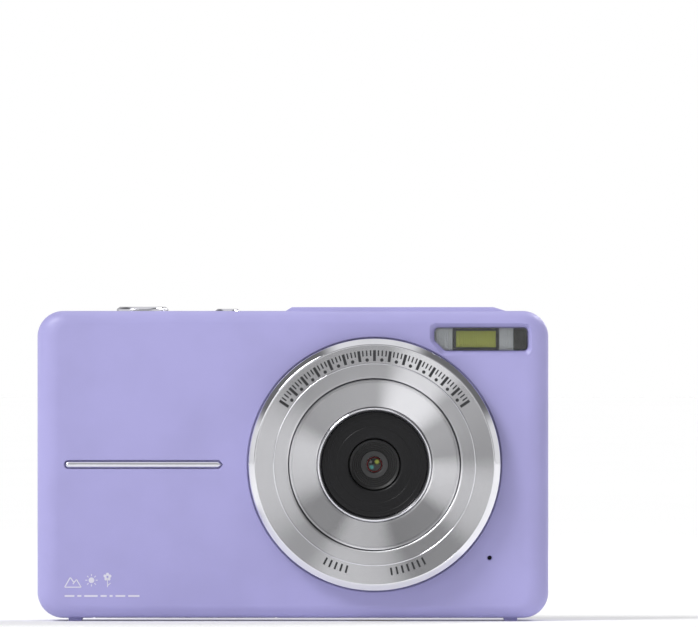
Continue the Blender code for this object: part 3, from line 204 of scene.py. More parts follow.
def turned(name: str, profile: Profile, facing: Facing, origin: Vector, sides: int = 96,
           closed: bool = False) -> Piece:
    """Raises a turned shape: a circle extruded from point to point of its profile.

    Args:
        name: The piece's name.
        profile: Radius and height pairs. A first or last radius of 0 is a pole.
        facing: The way the axis looks.
        origin: Where height 0 of the axis is.
        sides: How many sides the circle has.
        closed: Whether the last point joins the first, as on a ring.

    Returns:
        The piece, placed.
    """
    deselect()
    points = list(profile)
    starts_at_pole = points[0][0] == 0
    ends_at_pole = points[-1][0] == 0
    low_pole = points[0][1]
    if starts_at_pole:
        points = points[1:]
    radius, height = points[0]
    bpy.ops.mesh.primitive_circle_add(vertices=sides, radius=radius, fill_type="NOTHING", location=(0, 0, 0))
    piece = named(name)
    mode("EDIT")
    choose_all()
    bpy.ops.transform.translate(value=(0, 0, height))
    if starts_at_pole:
        bpy.ops.mesh.extrude_edges_move(TRANSFORM_OT_translate={"value": (0, 0, low_pole - height)})
        bpy.ops.mesh.merge(type="CENTER")
        choose("VERT", lambda at: abs(at.z - height) < 1e-9 and at.xy.length > radius / 2)
        bpy.ops.mesh.select_mode(type="EDGE")
    loop = points + ([points[0]] if closed else [])
    for (near, low), (far, high) in zip(loop, loop[1:]):
        bpy.ops.mesh.extrude_edges_move(TRANSFORM_OT_translate={"value": (0, 0, high - low)})
        if far == 0:
            bpy.ops.mesh.merge(type="CENTER")
        elif far != near:
            bpy.ops.transform.resize(value=(far / near, far / near, 1), center_override=(0, 0, high))
    choose_all()
    bpy.ops.mesh.remove_doubles(threshold=1e-7)
    if not closed and not (starts_at_pole and ends_at_pole):
        bpy.ops.mesh.select_all(action="DESELECT")
        bpy.ops.mesh.select_non_manifold()
        bpy.ops.mesh.fill()
    choose_all()
    bpy.ops.mesh.normals_make_consistent(inside=False)
    mode("OBJECT")
    return place(piece, facing, origin)


def plate(name: str, size: Pair, corner: float, steps: Iterable[Sequence[float]],
          facing: Facing, origin: Vector, arc: int = 8, chamfer: float = 0.0,
          pointed: bool = False) -> Piece:
    """Raises a plate with round corners, step by step, by extruding and insetting its face.

    Args:
        name: The piece's name.
        size: Its width and height.
        corner: The radius of its corners.
        steps: Inset and rise pairs; an inset below 0 spreads the face, and a third value insets the sides more.
        facing: The way that the face looks.
        origin: The middle of the plate's foot.
        arc: How many segments each corner has.
        chamfer: How far its low left corner is cut off.
        pointed: Whether its right end comes to a point.

    Returns:
        The piece, placed.
    """
    deselect()
    bpy.ops.mesh.primitive_plane_add(size=1, location=(0, 0, 0))
    piece = named(name)
    mode("EDIT")
    choose_all()
    bpy.ops.transform.resize(value=(size[0], size[1], 1), center_override=(0, 0, 0))
    if chamfer:
        choose("VERT", lambda at: at.x < 0 and at.y < 0)
        bpy.ops.mesh.bevel(offset=chamfer, segments=1, affect="VERTICES")
    if pointed:
        half = size[1] / 2
        choose("VERT", lambda at: at.x > 0)
        bpy.ops.mesh.bevel(offset=half * 0.998, segments=1, affect="VERTICES")
    low_left = (lambda at: at.x < 0 and at.y < size[1] / 2 - corner) if chamfer else (lambda at: False)
    if chamfer:
        choose("VERT", low_left)
        bpy.ops.mesh.bevel(offset=corner * BLUNT_CORNER, segments=arc, affect="VERTICES")
    choose("VERT", lambda at: (at.x < 0 or not pointed) and not low_left(at))
    bpy.ops.mesh.bevel(offset=corner, segments=arc, affect="VERTICES")
    bpy.ops.mesh.select_mode(type="FACE")
    choose_all()
    spread_face(*size, steps, pointed)
    choose_all()
    bpy.ops.mesh.normals_make_consistent(inside=False)
    mode("OBJECT")
    return place(piece, facing, origin)


def block(name: str, low: Sequence[float], high: Sequence[float], bevel: float = 0.0,
          segments: int = 2) -> Piece:
    """Adds a box between two corners, with its edges bevelled.

    Args:
        name: The piece's name.
        low: The lowest corner.
        high: The highest corner.
        bevel: The width of its bevels, or 0 for sharp edges.
        segments: How many segments a bevel has.

    Returns:
        The piece.
    """
    deselect()
    low, high = Vector(low), Vector(high)
    bpy.ops.mesh.primitive_cube_add(size=1, location=(low + high) / 2)
    piece = named(name)
    piece.scale = high - low
    settle()
    if bevel:
        mode("EDIT")
        choose_all()
        bpy.ops.mesh.bevel(offset=bevel, segments=segments, affect="EDGES")
        mode("OBJECT")
    return piece


def combine(operation: str, target: Piece, tools: Iterable[Piece]) -> Piece:
    """Unites tools with a target, or cuts them out of it, and removes the tools.

    Args:
        operation: "UNION", "DIFFERENCE" or "INTERSECT".
        target: The piece that is changed.
        tools: The pieces that change it.

    Returns:
        The target.
    """
    activate(target)
    for tool in tools:
        step = target.modifiers.new("join", "BOOLEAN")
        step.operation = operation
        step.solver = "MANIFOLD"
        step.object = tool
        bpy.ops.object.modifier_apply(modifier=step.name)
        bpy.data.objects.remove(tool)
    return target


def cut(target: Piece, *tools: Piece) -> Piece:
    """Cuts tools out of a target."""
    return combine("DIFFERENCE", target, tools)


def unite(target: Piece, *tools: Piece) -> Piece:
    """Unites tools with a target."""
    return combine("UNION", target, tools)


def join(name: str, pieces: Sequence[Piece]) -> Piece:
    """Joins pieces into one object of separate bodies."""
    deselect()
    for piece in pieces:
        piece.select_set(True)
    bpy.context.view_layer.objects.active = pieces[0]
    bpy.ops.object.join()
    return named(name)


def hollow(piece: Piece, wall: float) -> Piece:
    """Gives an open skin a wall, inwards."""
    activate(piece)
    step = piece.modifiers.new("wall", "SOLIDIFY")
    step.thickness = wall
    step.offset = -1
    bpy.ops.object.modifier_apply(modifier=step.name)
    return piece


def smooth(piece: Piece, angle: float = SHARP_ABOVE) -> Piece:
    """Shades a piece smooth below this angle, its broad faces kept flat."""
    activate(piece)
    bpy.ops.object.shade_smooth_by_angle(angle=angle)
    step = piece.modifiers.new("flats", "WEIGHTED_NORMAL")
    step.keep_sharp = True
    step.weight = 90
    bpy.ops.object.modifier_apply(modifier=step.name)
    return piece


def dress(piece: Piece, finish: "Finish | Material", node: str | None = None,
          body: str = "camera_body") -> Piece:
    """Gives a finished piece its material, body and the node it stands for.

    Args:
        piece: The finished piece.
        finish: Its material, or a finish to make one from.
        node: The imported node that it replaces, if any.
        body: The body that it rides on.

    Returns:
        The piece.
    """
    smooth(piece)
    piece.data.materials.clear()
    piece.data.materials.append(finish.make() if isinstance(finish, Finish) else finish)
    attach(piece, body)
    if node:
        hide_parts(node)
    LOG.info("%s: %d faces on %s", piece.name, len(piece.data.polygons), body)
    return piece


def spread_face(width: float, height: float, steps: Iterable[Sequence[float]], scaled: bool = False) -> None:
    """Extrudes the selected face through steps of inset and rise, each with an extra inset at the sides.

    Args:
        width: The face's width.
        height: The face's height.
        steps: The steps, as for a plate.
        scaled: Whether the face is scaled where it would be inset, as a slim face with a point must be.
    """
    level = 0.0
    for inset, rise, *side in steps:
        level += rise
        if inset > 0 and not scaled:
            bpy.ops.mesh.inset(thickness=inset, depth=rise)
        else:
            bpy.ops.mesh.extrude_region_move(TRANSFORM_OT_translate={"value": (0, 0, rise)})
        width, height = width - 2 * inset, height - 2 * inset
        if inset < 0 or scaled:
            grown = (width / (width + 2 * inset), height / (height + 2 * inset), 1)
            bpy.ops.transform.resize(value=grown, center_override=(0, 0, level))
        if side and side[0]:
            slim = (1 - 2 * side[0] / width, 1, 1)
            bpy.ops.transform.resize(value=slim, center_override=(0, 0, level))
            width -= 2 * side[0]


# ---- finishes


@dataclass
class Nodes:
    """A material's node tree, with short ways to add to it.

    Args:
        name: The material's name.
    """

    name: str
    material: Material = field(init=False)

    def __post_init__(self) -> None:
        """Makes the material and finds its shader."""
        self.material = bpy.data.materials.new(self.name)
        self.material.use_nodes = True
        self.tree = self.material.node_tree
        self.shader = self.tree.nodes["Principled BSDF"]
        self.place = self.add("ShaderNodeTexCoord").outputs["Object"]

    def add(self, kind: str, inputs: Mapping[str | int, Fed] = MappingProxyType({}),
            **settings: str) -> bpy.types.Node:
        """Adds a node of this kind, feeds these inputs of it and sets these properties."""
        node = self.tree.nodes.new(kind)
        for key, value in settings.items():
            setattr(node, key, value)
        for key, value in inputs.items():
            self.feed(node.inputs[key], value)
        return node

    def feed(self, socket: Socket, value: Fed) -> None:
        """Links an output to a socket, or sets the socket to a constant."""
        if isinstance(value, Socket):
            self.tree.links.new(value, socket)
        else:
            socket.default_value = value

    def maths(self, operation: str, first: Fed, second: Fed = 0.0, third: Fed = 0.0) -> Socket:
        """The result of a Math node on one, two or three values."""
        return self.add("ShaderNodeMath", {0: first, 1: second, 2: third}, operation=operation).outputs[0]

    def mix(self, share: Fed, first: Fed, second: Fed) -> Socket:
        """One colour mixed with another."""
        first, second = (part if isinstance(part, Socket) else (*part, 1) for part in (first, second))
        return self.add("ShaderNodeMix", {"Factor": share, 6: first, 7: second}, data_type="RGBA").outputs[2]

    def noise(self, scale: float, detail: float = 2.0, stretch: Sequence[float] = (1, 1, 1),
              roughness: float = 0.5) -> Socket:
        """A noise pattern on the piece's own place, stretched by a factor on each axis."""
        place_at = self.add("ShaderNodeMapping", {"Scale": stretch, "Vector": self.place}).outputs[0]
        inputs = {"Scale": scale, "Detail": detail, "Roughness": roughness, "Vector": place_at}
        return self.add("ShaderNodeTexNoise", inputs).outputs["Fac"]

    def spread(self, value: Fed, low: float, high: float, to_low: float = 0.0,
               to_high: float = 1.0) -> Socket:
        """A value's range from low to high, carried to another range."""
        inputs = dict(enumerate((value, low, high, to_low, to_high)))
        return self.add("ShaderNodeMapRange", inputs, interpolation_type="SMOOTHSTEP").outputs[0]

    def bump(self, height: Socket, distance: float) -> Socket:
        """A normal raised by a height pattern."""
        return self.add("ShaderNodeBump", {"Distance": distance, "Height": height}).outputs[0]

    def distance(self, across: Fed, up: Fed) -> Socket:
        """The length of a run across and up."""
        squares = [self.maths("MULTIPLY", run, run) for run in (across, up)]
        return self.maths("SQRT", self.maths("ADD", *squares))

    def axis(self) -> tuple[Socket, ...]:
        """The x, y and z of the piece's own place."""
        return tuple(self.add("ShaderNodeSeparateXYZ", {0: self.place}).outputs)

    def set(self, **sockets: Fed) -> None:
        """Feeds shader sockets, named with underscores for spaces."""
        for name, value in sockets.items():
            socket = self.shader.inputs[name.replace("_", " ")]
            if isinstance(value, tuple) and len(value) == 3 and socket.type == "RGBA":
                value = (*value, 1)
            self.feed(socket, value)


def linear(red: int, green: int, blue: int) -> Colour:
    """A shader colour from a printed one, its three parts from 0 to 255."""
    parts = (part / 255 for part in (red, green, blue))
    return tuple(p / 12.92 if p <= 0.04045 else ((p + 0.055) / 1.055) ** 2.4 for p in parts)


def shade(colour: Colour, factor: float) -> Colour:
    """A colour made lighter or darker by a factor."""
    return tuple(min(1.0, part * factor) for part in colour)


@dataclass(frozen=True)
class Finish:
    """A finish, made into a material when it is asked for.

    Args:
        name: The material's name.
    """

    name: str

    def make(self) -> Material:
        """Builds the material."""
        nodes = Nodes(self.name)
        self.paint(nodes)
        return nodes.material

    def paint(self, nodes: Nodes) -> None:
        """Lays the finish on a node tree."""
        raise NotImplementedError


@dataclass(frozen=True)
class Moulded(Finish):
    """Moulded plastic: a fine satin grain, a faint mottle and a little sheen.

    Args:
        colour: Its colour.
        roughness: How matt it is.
        grain: The depth of its grain.
        grain_size: The size of its grain.
        mottle: How far its colour wanders.
        coat: How much clear gloss lies over it.
    """

    colour: Colour
    roughness: float = 0.42
    grain: float = 0.004 * MM
    grain_size: float = 0.12 * MM
    mottle: float = 0.04
    coat: float = 0.0

    def paint(self, nodes: Nodes) -> None:
        """Lays the finish on a node tree."""
        cloud = nodes.noise(60, 3)
        low, high = shade(self.colour, 1 - self.mottle), shade(self.colour, 1 + self.mottle)
        grain = nodes.noise(1 / self.grain_size, 2)
        nodes.set(
            Base_Color=nodes.mix(nodes.spread(cloud, 0.3, 0.7), low, high),
            Roughness=nodes.spread(grain, 0.2, 0.8, self.roughness - 0.05, self.roughness + 0.05),
            Normal=nodes.bump(grain, self.grain),
        )
        nodes.set(Coat_Weight=self.coat, Coat_Roughness=0.08)


@dataclass(frozen=True)
class TurnedWithPaintedFans(Finish):
    """Metal turned flat on a lathe: fine rings round an axis along Y, which stretch its highlights, and painted
    highlight fans: fixed sectors round the axis painted lighter, the rest painted darker.

    Args:
        centre: A point on the axis.
        colour: The metal's colour.
        roughness: How matt it is.
        pitch: The spacing of the rings.
        depth: The depth of the rings.
        painted_fan_contrast: How much the painted highlight fans lighten the metal, and the painted shade between
            them darkens it.
        painted_highlight_fans: The middle and half width of each painted highlight fan round the axis, in degrees.
        anisotropy: How far the highlights are stretched.
        metallic: 1 for metal, 0 for plastic.
    """

    centre: Vector
    colour: Colour
    roughness: float = 0.3
    pitch: float = 0.16 * MM
    depth: float = 0.0015 * MM
    painted_fan_contrast: float = 0.3
    painted_highlight_fans: tuple[Pair, ...] = ((45, 40), (225, 40))
    anisotropy: float = 0.75
    metallic: float = 1.0

    def paint(self, nodes: Nodes) -> None:
        """Lays the finish on a node tree."""
        x, _, z = nodes.axis()
        across = nodes.maths("SUBTRACT", x, self.centre.x)
        up = nodes.maths("SUBTRACT", z, self.centre.z)
        radius = nodes.distance(across, up)
        wobble = nodes.maths("MULTIPLY", nodes.noise(900, 1), self.pitch * 0.5)
        phase = nodes.maths("MULTIPLY", nodes.maths("ADD", radius, wobble), FULL_TURN / self.pitch)
        rings = nodes.maths("SINE", phase)
        turn = nodes.maths("ARCTAN2", up, across)
        # Painted highlight and shade: the base colour is lighter in fixed fans round the axis and darker between
        # them.
        bright = 0.0
        for middle, half in self.painted_highlight_fans:
            near = nodes.maths("COSINE", nodes.maths("SUBTRACT", turn, math.radians(middle)))
            bright = nodes.maths("MAXIMUM", bright, nodes.spread(near, math.cos(math.radians(half)), 1.0))
        low, high = shade(self.colour, 1 - self.painted_fan_contrast), shade(self.colour, 1 + self.painted_fan_contrast)
        painted_fan_colour = nodes.mix(bright, low, high)
        dull = nodes.mix(0.3, painted_fan_colour, (0, 0, 0))
        nodes.set(
            Base_Color=nodes.mix(nodes.spread(rings, -1, 1, 0, 0.3), painted_fan_colour, dull),
            Metallic=self.metallic,
            Roughness=nodes.spread(rings, -1, 1, self.roughness - 0.04, self.roughness + 0.04),
            Anisotropic=self.anisotropy,
            Normal=nodes.bump(rings, self.depth),
        )
        if not self.metallic:
            nodes.set(Specular_IOR_Level=0.22)
        nodes.set(Tangent=nodes.add("ShaderNodeTangent", direction_type="RADIAL", axis="Y").outputs[0])


@dataclass(frozen=True)
class Metal(Finish):
    """Plain or plated metal with faint smears.

    Args:
        colour: The metal's colour.
        roughness: How matt it is.
        smear: How much its roughness wanders.
        grain: The depth of its grain.
        stretch: How its grain is stretched on each axis.
    """

    colour: Colour
    roughness: float = 0.15
    smear: float = 0.05
    grain: float = 0.001 * MM
    stretch: tuple[float, float, float] = (1, 1, 1)

    def paint(self, nodes: Nodes) -> None:
        """Lays the finish on a node tree."""
        smear = nodes.noise(180, 3)
        brushed = nodes.noise(2600, 2, self.stretch)
        dull = shade(self.colour, 0.9)
        nodes.set(
            Base_Color=nodes.mix(nodes.spread(smear, 0.3, 0.7, 0, 0.6), self.colour, dull),
            Metallic=1.0,
            Roughness=nodes.spread(smear, 0.3, 0.7, self.roughness, self.roughness + self.smear),
            Normal=nodes.bump(brushed, self.grain),
        )


@dataclass(frozen=True)
class Clear(Finish):
    """Clear plastic or glass.

    Args:
        colour: Its tint.
        roughness: How much it blurs.
        ior: Its index of refraction.
        coat: The weight of its reflective coating.
        coat_tint: The colour of that coating.
    """

    colour: Colour = (1.0, 1.0, 1.0)
    roughness: float = 0.02
    ior: float = 1.46
    coat: float = 0.0
    coat_tint: Colour = (1.0, 1.0, 1.0)

    def paint(self, nodes: Nodes) -> None:
        """Lays the finish on a node tree."""
        haze = nodes.noise(240, 2)
        nodes.set(
            Base_Color=self.colour,
            Roughness=nodes.spread(haze, 0.3, 0.8, self.roughness, self.roughness + 0.03),
        )
        nodes.set(Transmission_Weight=1.0, IOR=self.ior, Coat_Weight=self.coat, Coat_Tint=self.coat_tint,
                  Coat_Roughness=0.03)


TOP_BUTTONS = {"shutter_button": 5.0 * MM, "power_button": 2.5 * MM}
ROUND_KEYS = ("zoom_wide_button", "zoom_tele_button", "mode_button", "menu_button")


@dataclass(frozen=True)
class CaseScrew:
    """Where a case screw is.

    Args:
        node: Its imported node.
        facing: The way that its head looks.
    """

    node: str
    facing: Facing

    def mouth(self, foot_height: float) -> Vector:
        """The middle of its seat's mouth, on the casing's face."""
        box = Box.of(self.node)
        front = Box.of("front_shell")
        if self.facing is Facing.DOWN:
            return box.at(z=foot_height)
        side = front.low.x if self.facing is Facing.LEFT else front.high.x
        return box.at(x=side)


CASE_SCREWS = (
    CaseScrew("case_screw_bottom_left", Facing.DOWN),
    CaseScrew("case_screw_bottom_right", Facing.DOWN),
    CaseScrew("case_screw_side_left", Facing.LEFT),
    CaseScrew("case_screw_side_right", Facing.RIGHT),
)


# ---- casings


def quarter(across: float, rise: float, count: int, side: float = 0.0) -> list[tuple[float, float, float]]:
    """Steps of a quarter ellipse that starts upright and ends flat.

    Args:
        across: How far it insets.
        rise: How far it rises.
        count: How many steps it has.
        side: How much further it insets at the sides.

    Returns:
        The steps, as inset, rise and extra side inset.
    """
    turns = [RIGHT_ANGLE * i / count for i in range(count + 1)]
    return [
        (
            across * (math.cos(near) - math.cos(far)),
            rise * (math.sin(far) - math.sin(near)),
            side * (math.cos(near) - math.cos(far)),
        )
        for near, far in zip(turns, turns[1:])
    ]


@dataclass
class Casing:
    """What both casings share: the outline, the wall, the low step on top and the feet.

    Args:
        finish: The casing plastic.
    """

    finish: Material
    front: Box = field(default_factory=lambda: Box.of("front_shell"))
    rear: Box = field(default_factory=lambda: Box.of("rear_shell"))
    corner: float = 5.0 * MM
    arc: int = 14
    foot_width: float = 2.6 * MM
    foot_inset: float = 6.0 * MM
    foot_height: float = 0.6 * MM

    @property
    def width(self) -> float:
        """The camera's width."""
        return self.front.size.x

    @property
    def high(self) -> float:
        """The height of the top face, under the low step."""
        return self.front.high.z - STEP_RISE

    @property
    def height(self) -> float:
        """The casing's height, without feet and step."""
        return self.high - self.foot_height

    @property
    def middle(self) -> float:
        """The height of the casing's middle."""
        return (self.high + self.foot_height) / 2

    def top_step(self, y: Pair, ramp_at_front: bool) -> Piece:
        """The low step along the top, between two depths.

        Args:
            y: Its front and back.
            ramp_at_front: Whether its slope is at the front or at the back.

        Returns:
            A block to unite with a casing.
        """
        near, far = self.front.high.x - 8.2 * MM, self.front.high.x - 50.9 * MM
        sunk = 0.4 * MM
        below = sunk / STEP_RISE
        ramp, near_ramp, far_ramp = 0.55 * MM, 2.4 * MM, 1.2 * MM
        front, back = (y[0] - ramp * below, y[1]) if ramp_at_front else (y[0], y[1] + ramp * below)
        low = (far - far_ramp * below, front, self.high - sunk)
        high = (near + near_ramp * below, back, self.front.high.z - 0.01 * MM)
        step = block("top_step", low, high)
        mode("EDIT")
        sloped = front if ramp_at_front else back
        for shift, test in (
            ((-near_ramp * (1 + below), 0, 0), lambda at: at.x > high[0] - CLOSE),
            ((far_ramp * (1 + below), 0, 0), lambda at: at.x < low[0] + CLOSE),
            ((0, ramp * (1 + below) * (1 if ramp_at_front else -1), 0), lambda at: abs(at.y - sloped) < CLOSE),
        ):
            choose("VERT", lambda at, test=test: at.z > self.high and test(at))
            bpy.ops.transform.translate(value=shift)
        plain = back if ramp_at_front else front
        choose("EDGE", lambda at: at.z > self.high - sunk / 2 and abs(at.y - plain) > CLOSE)
        bpy.ops.mesh.bevel(offset=0.18 * MM, segments=3, affect="EDGES", clamp_overlap=True)
        mode("OBJECT")
        return step

    def cup(self, name: str, steps: Iterable[Sequence[float]], facing: Facing, rim: float) -> Piece:
        """A hollow cup of the casing's outline, open at its rim."""
        shell = plate(name, (self.width, self.height), self.corner, steps, facing, Vector((0, rim, self.middle)),
                      self.arc)
        activate(shell)
        mode("EDIT")
        choose("FACE", lambda at: abs(at.y - rim) < CLOSE)
        bpy.ops.mesh.delete(type="FACE")
        mode("OBJECT")
        return hollow(shell, WALL)

    def feet(self, y: Pair) -> list[Piece]:
        """The two moulded feet between two depths."""
        made = []
        for side in (-1, 1):
            outer = self.width / 2 - self.foot_inset
            inner = outer - self.foot_width
            x = sorted((side * outer, side * inner))
            foot = block(f"foot_{side}", (x[0], y[0], 0), (x[1], y[1], self.foot_height + 1.0 * MM), 0.2 * MM)
            made.append(foot)
        return made


@dataclass
class FrontCasing(Casing):
    """The front casing: a cup with a rolled front edge, cut for all that shows through it."""

    roll_depth: float = 3.0 * MM
    roll_top: float = 2.6 * MM
    roll_side: float = 4.2 * MM
    roll_steps: int = 12
    gap: float = 0.22 * MM
    lip: float = 0.18 * MM

    def build(self) -> Piece:
        """Models the casing."""
        rim = self.front.high.y
        face = self.front.low.y
        straight = rim - face - self.roll_depth
        steps = [(0, straight)]
        steps += quarter(self.roll_top, self.roll_depth, self.roll_steps, self.roll_side - self.roll_top)
        shell = self.cup("front_casing", steps, Facing.FRONT, rim)
        roll_end = face + self.roll_depth
        unite(shell, self.top_step((roll_end, rim), True), *self.feet((roll_end, roll_end + 5.4 * MM)))
        unite(shell, *self.door_ears(), self.strap_boss())
        cut(shell, *self.lens_seat(), *self.flash_recess(), self.bar_groove(), self.mic_hole())
        cut(shell, *self.top_key_holes(), self.door_opening(), self.bush_hole(), *self.speaker_slots())
        cut(shell, self.usb_hole(), self.strap_pocket(), *self.screw_seats())
        return dress(shell, self.finish, "front_shell")

    def bored(self, name: str, radius: float, depth: float, facing: Facing, mouth: Vector,
              sides: int = 64) -> Piece:
        """A cutter for a round hole with a small slope round its mouth.

        Args:
            name: The cutter's name.
            radius: The hole's radius.
            depth: How deep it goes.
            facing: The way out of the hole.
            mouth: The middle of its mouth, on the casing's face.
            sides: How many sides it has.

        Returns:
            The cutter.
        """
        profile = (
            (0, -depth),
            (radius, -depth),
            (radius, -self.lip),
            (radius + self.lip, 0),
            (radius + self.lip + CUT_PAST, CUT_PAST),
            (0, CUT_PAST),
        )
        return turned(name, profile, facing, mouth, sides)

    def lens_seat(self) -> list[Piece]:
        """Cutters: the seat of the lens rings, and the opening in its floor."""
        ring = Box.of("lens_outer_ring")
        mouth = ring.at(y=self.front.low.y)
        seat = self.bored("lens_seat", ring.size.x / 2 + self.gap, 1.0 * MM, Facing.FRONT, mouth, 160)
        floor = mouth + Vector((0, 1.0 * MM, 0))
        hole = self.bored("lens_opening", 9.0 * MM, 2.0 * MM, Facing.FRONT, floor)
        return [seat, hole]

    def flash_recess(self) -> list[Piece]:
        """Cutters: the sloping recess round the flash window, and the hole that holds it."""
        window = Box.of("flash_window")
        face = self.front.low.y
        middle = window.at(y=0)
        width, height = window.size.x, window.size.z
        sunk = window.low.y - face
        wide, deep = 1.0 * MM, 0.4 * MM
        slope = plate(
            "flash_slope", (width + 0.4 * MM, height + 0.4 * MM), 1.0 * MM,
            [(-(wide - 0.35 * MM), sunk * 0.8 + deep), (-0.2 * MM, sunk * 0.2), (-0.3 * MM, CUT_PAST)],
            Facing.FRONT, middle + Vector((0, window.low.y + deep, 0)), 8, chamfer=2.1 * MM,
        )
        hole = plate(
            "flash_hole", (width + 0.2 * MM, height + 0.2 * MM), 0.9 * MM, [(0, 3.2 * MM)],
            Facing.FRONT, middle + Vector((0, face + 2.6 * MM, 0)), 8, chamfer=2.0 * MM,
        )
        return [slope, hole]

    def bar_groove(self) -> Piece:
        """A cutter: the groove that the accent bar lies in."""
        bar = Box.of("accent_bar")
        size = bar.size.x + 0.34 * MM, bar.size.z + 0.34 * MM
        origin = bar.at(y=self.front.low.y + 0.8 * MM)
        depth = 0.8 * MM
        steps = [(0, depth - 0.14 * MM), (-0.14 * MM, 0.14 * MM), (-0.1 * MM, 0.3 * MM)]
        return plate("bar_groove", size, size[1] * 0.49, steps, Facing.FRONT, origin, 8, pointed=True)

    def mic_hole(self) -> Piece:
        """A cutter: the sound hole."""
        boot = Box.of("microphone_boot").centre
        mouth = Vector((boot.x, self.front.low.y, boot.z))
        return self.bored("mic_hole", 0.42 * MM, 2.5 * MM, Facing.FRONT, mouth, 32)

    def top_key_holes(self) -> list[Piece]:
        """Cutters: the holes of the shutter and power buttons."""
        holes = []
        for name, radius in TOP_BUTTONS.items():
            mouth = Box.of(name).at(z=self.high)
            holes.append(self.bored(f"{name}_hole", radius + self.gap, 2.4 * MM, Facing.UP, mouth))
        return holes

    def door_ears(self) -> list[Piece]:
        """The ears that hold the ends of the door's pin."""
        door, pin = Box.of("battery_door"), Box.of("door_hinge_pin")
        radius = 1.25 * MM
        ears = []
        for side, x in ((-1, door.low.x - 0.3 * MM), (1, door.high.x + 0.3 * MM)):
            spans = sorted((x, x + side * 1.8 * MM))
            low = (spans[0], pin.centre.y - radius, self.foot_height + 0.3 * MM)
            high = (spans[1], pin.centre.y + radius, pin.centre.z + radius)
            ears.append(block(f"ear_{side}", low, high, 0.3 * MM))
        return ears

    def strap_boss(self) -> Piece:
        """The thick block behind the strap recess."""
        bar = Box.of("strap_bar")
        half = bar.size.z / 2 + 0.9 * MM
        low = (self.front.low.x + 0.8 * MM, bar.centre.y - 4.2 * MM, bar.centre.z - half)
        high = (self.front.low.x + 4.7 * MM, bar.centre.y + 4.2 * MM, bar.centre.z + half)
        return block("strap_boss", low, high, 0.3 * MM)

    def strap_pocket(self) -> Piece:
        """A cutter: the recess behind the strap bar, with round corners."""
        bar = Box.of("strap_bar")
        steps = [(0, 3.3 * MM - self.lip), (-self.lip, self.lip), (-CUT_PAST, CUT_PAST)]
        origin = bar.at(x=self.front.low.x + 3.3 * MM)
        return plate("strap_pocket", (6.0 * MM, 8.0 * MM), 1.0 * MM, steps, Facing.LEFT, origin)

    def door_opening(self) -> Piece:
        """A cutter: the opening for the battery door."""
        door = Box.of("battery_door")
        gap = 0.25 * MM
        size = door.size.x + 2 * gap, door.size.y + 2 * gap
        origin = door.at(z=self.foot_height + 1.9 * MM)
        steps = [(0, 1.9 * MM - self.lip), (-self.lip, self.lip), (-CUT_PAST, CUT_PAST)]
        return plate("door_opening", size, 0.4 * MM, steps, Facing.DOWN, origin)

    def bush_hole(self) -> Piece:
        """A cutter: the hole that the tripod bush shows through."""
        bush = Box.of("tripod_bush")
        mouth = bush.at(z=self.foot_height)
        return self.bored("bush_hole", bush.size.x / 2 + 0.12 * MM, 2.4 * MM, Facing.DOWN, mouth)

    def speaker_slots(self) -> list[Piece]:
        """Cutters: three round-ended sound slots in the base."""
        speaker = Box.of("speaker").centre
        slots = []
        for i in (-1, 0, 1):
            origin = Vector((speaker.x + i * 2.6 * MM, speaker.y, self.foot_height + 2.2 * MM))
            steps = [(0, 2.1 * MM), (-0.1 * MM, 0.1 * MM), (-CUT_PAST, CUT_PAST)]
            slots.append(plate(f"slot_{i}", (0.8 * MM, 5.0 * MM), 0.39 * MM, steps, Facing.DOWN, origin))
        return slots

    def usb_hole(self) -> Piece:
        """A cutter: the hole for a cable's plug, with round corners."""
        socket = Box.of("usb_socket")
        size = socket.size.y + 0.3 * MM, socket.size.z + 0.3 * MM
        origin = socket.at(x=self.front.high.x - 2.4 * MM)
        steps = [(0, 2.4 * MM - self.lip), (-self.lip, self.lip), (-CUT_PAST, CUT_PAST)]
        return plate("usb_hole", size, 0.8 * MM, steps, Facing.RIGHT, origin)

    def screw_seats(self) -> list[Piece]:
        """Cutters: the seat of each case screw."""
        seats = []
        for place_of in CASE_SCREWS:
            seats.append(self.bored(f"{place_of.node}_seat", 1.52 * MM, 0.85 * MM, place_of.facing,
                                    place_of.mouth(self.foot_height), 40))
        return seats


# ---- rear casing


